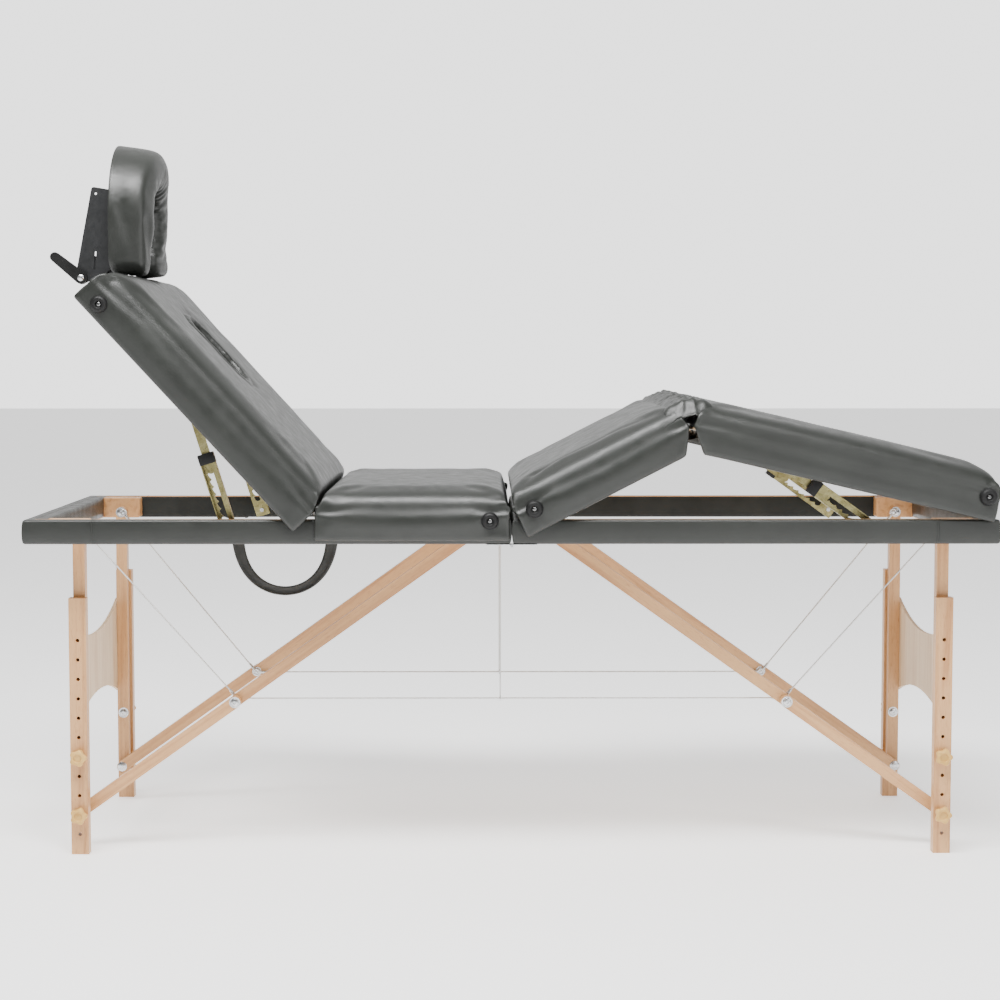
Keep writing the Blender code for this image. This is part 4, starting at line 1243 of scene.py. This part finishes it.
def add_leaf(bm, section, pivot, y):
    """A hinge leaf under a board, from the hinge line inwards along the section."""
    u = (section.inverted() @ pivot).x
    sign = 1 if u < 0.1 else -1
    start, end = sorted((u + sign * 0.0032, u + sign * 0.034))
    add_block(bm, (start, y - 0.028, -0.0076), (end, y + 0.028, -0.0062), section, 0.0004)


def make_cradle_fittings():
    """The cross bolt of the face cradle, between the levers and their clamps."""
    pivot = joint_point("cradle_tilt")
    near, far = inner_outer("cradle_lever")
    bolt = bmesh.new()
    start = facing(1, pivot.x, pivot.z, -near - 0.004)
    add_pin(bolt, start, 0.0026, 0, near * 2 + 0.004, 16)
    head = facing(-1, pivot.x, pivot.z, far)
    add_pin(bolt, head, 0.0026, -0.0100, 0.0, 16)
    add_lathe(bolt, [(0, 0.0), (0.0062, 0.0), (0.0062, 0.0016), (0.0046, 0.0030), (0, 0.0036)], head)
    add_nut(bolt, facing(1, pivot.x, pivot.z, near - 0.0006))
    fit("cradle_cross_bolt", bolt, STEEL, 40, "cradle_lever", "black_metal")


# ------------------------------------------------------------------ cradle cushion


def cradle_path():
    """Points and outward directions along the middle of the horseshoe, arm to arm."""
    low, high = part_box("cradle_cushion")
    outer, inner = high.y, 0.054
    reach, half_wide = (outer + inner) / 2, (outer - inner) / 2
    center = high.z - outer
    arm_start = low.z + half_wide * 0.55
    arm, turn = 14, 48
    stations = []
    for step in range(arm):
        share = step / arm
        z = arm_start + (center - arm_start) * share
        close = 0.40 * (1 - smooth_step(share * 1.15)) ** 1.5
        stations.append((-reach, z, -1.0, 0.0, close))
    for step in range(turn + 1):
        angle = pi - pi * step / turn
        y, z = cos(angle), sin(angle)
        stations.append((reach * y, center + reach * z, y, z, 0.0))
    for y, z, dy, dz, close in reversed(stations[:arm]):
        stations.append((-y, z, -dy, dz, close))
    return stations, half_wide


def cradle_section():
    """Cross-section of the cradle pad as (outward, forward): flat back, full front."""
    corners = [
        (0.030, 0.0), (0.0420, -0.0002), (0.0436, -0.0020), (0.0438, -0.0092), (0.0452, -0.0098),
        (0.0462, -0.0060), (0.0460, 0.0080), (0.0455, 0.028), (0.0438, 0.046),
        (0.0400, 0.0545), (0.0345, 0.0595), (0.0230, 0.0640), (0.0080, 0.0668),
        (-0.0080, 0.0662), (-0.0220, 0.0620), (-0.0320, 0.0550), (-0.0385, 0.0440),
        (-0.0405, 0.0280), (-0.0400, 0.0100), (-0.0375, 0.0020), (-0.0300, 0.0), (0.0, 0.0),
    ]
    count = len(corners)
    points = []
    for index in range(count):
        a, b, c, d = (Vector(corners[(index + k) % count]) for k in (-1, 0, 1, 2))
        square, cube = 2 * a - 5 * b + 4 * c - d, 3 * b - a - 3 * c + d
        for share in (0.0, 0.5):
            points.append(0.5 * (2 * b + (c - a) * share + square * share**2 + cube * share**3))
    return points


def make_cradle_cushion():
    """The horseshoe face cushion: smooth outside, gathered vinyl around the opening."""
    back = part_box("cradle_cushion")[0].x
    deep = 0.067
    stations, half_wide = cradle_path()
    section = cradle_section()
    rings = []

    def add_ring_at(station, share, drop=0.0, size=1.0):
        y, z, dy, dz, close = station
        z -= drop
        bend = 0.016 * smooth_step((z - 1.215) / 0.085) + 0.006 * smooth_step((1.10 - z) / 0.05)
        row = []
        for out, forward in section:
            inner = smooth_step(0.45 - out / half_wide * 0.9)
            front = smooth_step(forward / deep * 1.6 - 0.35)
            gather = sin(share * 2 * pi * 27 + 3 * sin(share * 31)) * 0.0014
            gather += wrinkle((share * 52, out * 60, forward * 14), 1.0, 17) * 0.0040
            lift = gather * inner * (0.30 + 0.70 * front)
            out *= 1 + close if out < 0 else 1
            ahead = forward + bend * (max(0.0, forward) / deep) ** 1.3
            taper = 0.625 * bend * (forward / deep) if out > 0 else 0.0
            reach = (out - taper) * size - lift * 0.5
            x = back + deep / 2 + (ahead - deep / 2) * (0.45 + 0.55 * size) + lift * front
            row.append((x, y + dy * reach, z + dz * reach))
        rings.append(row)

    tip = ((0.030, 0.30), (0.026, 0.62), (0.018, 0.84), (0.009, 0.96))
    for drop, size in tip:
        add_ring_at(stations[0], 0, drop, size)
    for index, station in enumerate(stations):
        add_ring_at(station, index / len(stations))
    for drop, size in reversed(tip):
        add_ring_at(stations[-1], 1, drop, size)
    cushion = make_sheet("cradle_upholstery", rings, VINYL, closed_rows=True, cap=True)
    inflate(cushion, lambda co: co.x < back + 0.006, CRADLE_CAP)
    add_smoothing(cushion)
    attach(cushion, "cradle_head", "cushion_vinyl", "cradle_cushion")


# ------------------------------------------------------------------ cables, handle


def tube(name, points, radius, material):
    """A smooth round tube through points, as a mesh."""
    rows = []
    places = [Vector(point) for point in points]
    for index, place in enumerate(places):
        before = places[max(index - 1, 0)]
        after = places[min(index + 1, len(places) - 1)]
        run = (after - before).normalized()
        side = run.cross(Vector((0, 0, 1)) if abs(run.z) < 0.9 else Vector((1, 0, 0))).normalized()
        up = side.cross(run)
        row = []
        for step in range(10):
            angle = 2 * pi * step / 10
            row.append(place + (side * cos(angle) + up * sin(angle)) * radius)
        rows.append(row)
    return make_sheet(name, rows, material, 60, closed_rows=True, cap=True)


def line(start, end, count):
    start, end = Vector(start), Vector(end)
    return [start.lerp(end, step / count) for step in range(count + 1)]


CABLE_RADIUS = 0.0014
CABLE_TOP = (0.790, 0.213, 0.594)
CABLE_KNEE_Y = 0.166
DROP_X = -0.020
DROP_TOP = 0.582
FRAME_KNOT_X = 0.25
SLEEVE = [(0, 0), (0.0026, 0), (0.0028, 0.002), (0.0028, 0.014), (0.0024, 0.016), (0, 0.016)]


def make_cables():
    """Three runs a side: leg top to knee, knee across to knee, and the drop cable."""
    for label, side in SIDES:
        y = side * CABLE_KNEE_Y
        knees = {half: Vector((strut_joint(half).x, y, strut_joint(half).z)) for half, _ in HALVES}
        for half, sign in HALVES:
            knee = knees[half]
            top = Vector((sign * CABLE_TOP[0], side * CABLE_TOP[1], CABLE_TOP[2]))
            run = tube(f"{half}_leg_cable_{label}", line(top, knee, 24), CABLE_RADIUS, WIRE)
            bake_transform(run)
            ends = bmesh.new()
            add_ring(ends, top + Vector((sign * 0.004, 0, 0.006)), 0.0062, 0.0011, (0, 1, 0))
            add_lathe(ends, SLEEVE, Matrix.Translation(top) @ turned_to((knee - top).normalized()), 16)
            fit(f"{half}_cable_eye_{label}", ends, STEEL, 50, half + "_frame", "cable")
            hook = bmesh.new()
            add_ring(hook, knee, 0.0058, 0.0011, (0, 1, 0))
            for target in (top, Vector((0, knee.y, knee.z))):
                away = (target - knee).normalized()
                place = Matrix.Translation(knee + away * 0.006) @ turned_to(away)
                add_lathe(hook, SLEEVE, place, 16)
            fit(f"{half}_knee_eye_{label}", hook, STEEL, 50, half + "_upper_struts", "cable")
        left, right = knees["left"], knees["right"]
        middle = Vector((DROP_X, left.y, left.z))
        knot = Vector((FRAME_KNOT_X, left.y, left.z))
        spans = (
            (f"left_cross_cable_{label}", left, middle, "left_upper_struts", "left_frame"),
            (f"middle_cross_cable_{label}", middle, knot, "left_frame", "right_frame"),
            (f"right_cross_cable_{label}", knot, right, "right_frame", "right_upper_struts"),
        )
        for name, start, end, first, second in spans:
            run = tube(name, line(start, end, 24), CABLE_RADIUS, WIRE)
            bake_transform(run)
        top = Vector((DROP_X, middle.y, DROP_TOP))
        drop = tube("drop_cable_" + label, line(top, middle, 16), CABLE_RADIUS, WIRE)
        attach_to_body(drop, "left_frame")
        clip = bmesh.new()
        add_ring(clip, middle, 0.0046, 0.0010, (1, 0, 0))
        fit("drop_cable_clip_" + label, clip, STEEL, 50, "left_frame", "cable")
        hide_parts("cable_" + label)


def make_handle():
    """The carry handle: a folded strap that narrows into a rolled grip, with its tabs."""
    low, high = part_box("carry_handle")
    pivot = joint_point("carry_handle_swing")
    middle = (low.x + high.x) / 2
    strap, grip, thick = 0.0145, 0.0098, 0.0042
    reach = (high.x - low.x) / 2 - strap
    drop = pivot.z - low.z - grip
    across = Vector((0, 1, 0))
    count, sides = 72, 20
    rows = []
    for step in range(count + 1):
        angle = pi * step / count
        level = sin(angle) ** 0.7 if 0 < step < count else 0.0
        width = strap + (grip - strap) * level
        place = Vector((middle - reach * cos(angle), pivot.y, pivot.z - drop * level))
        out = Vector((-cos(angle) / reach, 0, -sin(angle) / drop)).normalized()
        fold = 0.0010 * wrinkle((step * 0.21, 0, 0), 1.0, 40)
        row = []
        for part in range(sides):
            turn = 2 * pi * part / sides
            side = abs(cos(turn)) ** 0.55 * (1 if cos(turn) > 0 else -1)
            face = abs(sin(turn)) ** 0.75 * (1 if sin(turn) > 0 else -1)
            ridge = 0.0012 * bell(abs(side) - 0.75, 0.16) - 0.0010 * bell(abs(side) - 0.45, 0.14)
            depth = (thick * (0.8 + 0.35 * level) + ridge) * face
            row.append(place + out * (width * side) + across * (depth + fold))
        rows.append(row)
    handle = make_sheet("carry_strap", rows, STRAP_VINYL, 70, closed_rows=True, cap=True)
    attach(handle, "carry_handle", "strap", "carry_handle")
    tabs = bmesh.new()
    bottom, top = pivot.z + 0.0042, pivot.z + 0.0050
    for x in (middle - reach, middle + reach):
        corners = (x - 0.024, pivot.y - 0.0085, bottom), (x + 0.024, pivot.y + 0.0085, top)
        add_block(tabs, *corners, Matrix(), 0.0004)
        for shift in (-0.0195, 0.0195):
            spot = Matrix.Translation((x + shift, pivot.y, pivot.z + 0.0038)) @ UPSIDE_DOWN
            add_lathe(tabs, [(0, 0), (0.0036, 0), (0.0030, 0.0012), (0, 0.0016)], spot, 16)
    fit("carry_strap_tabs", tabs, STRAP_VINYL, 50, "left_frame", "strap")


# ------------------------------------------------------------------------- studio


def make_floor():
    floor = bmesh.new()
    bmesh.ops.create_grid(floor, x_segments=2, y_segments=2, size=30)
    nodes = Nodes("studio_floor")
    cloud = nodes.noise(nodes.mapping(), 2.0, 2.0)
    color = nodes.ramp(cloud, [(0.3, (0.90, 0.90, 0.90)), (0.7, (0.92, 0.92, 0.92))])
    material = nodes.finish(color, 0.6, Emission_Color=(1, 1, 1, 1), Emission_Strength=0.75)
    piece = make_piece("studio_floor", floor, material)


def make_world():
    """A plain white surrounding, darker towards the camera and pale behind the table."""
    world = bpy.data.worlds.new("studio")
    bpy.context.scene.world = world
    world.use_nodes = True
    tree = world.node_tree
    background = tree.nodes["Background"]
    coordinates = add_node(tree, "TexCoord", {})
    split = add_node(tree, "SeparateXYZ", {"Vector": coordinates.outputs["Generated"]})
    levels = {"From Min": -0.35, "From Max": 0.75, "To Min": 0.24, "To Max": 1.3}
    levels["Value"] = split.outputs["Y"]
    depth = add_node(tree, "MapRange", levels, interpolation_type="SMOOTHSTEP")
    rays = add_node(tree, "LightPath", {})
    inputs = {"Factor": rays.outputs["Is Camera Ray"], "A": depth.outputs["Result"], "B": 2.4}
    shown = add_node(tree, "Mix", inputs)
    fill(tree, background.inputs["Strength"], shown.outputs["Result"])
    fill(tree, background.inputs["Color"], (1.0, 1.0, 1.0, 1))


def make_lights():
    target = Vector((0, 0, 0.6))
    lights = (
        ("key_light", (-0.6, -1.9, 4.2), (3.4, 1.3), 420),
        ("fill_light", (2.6, -3.4, 1.8), (2.4, 2.0), 50),
    )
    for name, place, size, power in lights:
        data = bpy.data.lights.new(name, "AREA")
        data.shape = "RECTANGLE"
        data.size, data.size_y = size
        data.energy = power
        lamp = bpy.data.objects.new(name, data)
        lamp.location = place
        lamp.rotation_euler = (target - Vector(place)).to_track_quat("-Z", "Y").to_euler()
        bpy.context.scene.collection.objects.link(lamp)


def make_camera():
    """The view of the photo: from the near side, a little above the table."""
    down, aside = 0.07035, 0.0064
    data = bpy.data.cameras.new("camera")
    data.sensor_width = 36
    data.lens = 76.6
    camera = bpy.data.objects.new("camera", data)
    camera.location = (-0.04605, -4.16359, 0.9338)
    camera.rotation_euler = (pi / 2 - down, 0, -aside)
    bpy.context.scene.collection.objects.link(camera)
    bpy.context.scene.camera = camera


make_camera()
finish_nodes()
make_sections()
for half_name, half_sign in HALVES:
    make_rail_wrap(half_name)
    make_end_cover(half_name, half_sign)
make_bolts()
make_knobs()
make_stay_fittings()
make_fold_hinges()
make_section_hinges()
make_cradle_fittings()
make_cradle_cushion()
make_cables()
make_handle()
make_floor()
make_world()
make_lights()
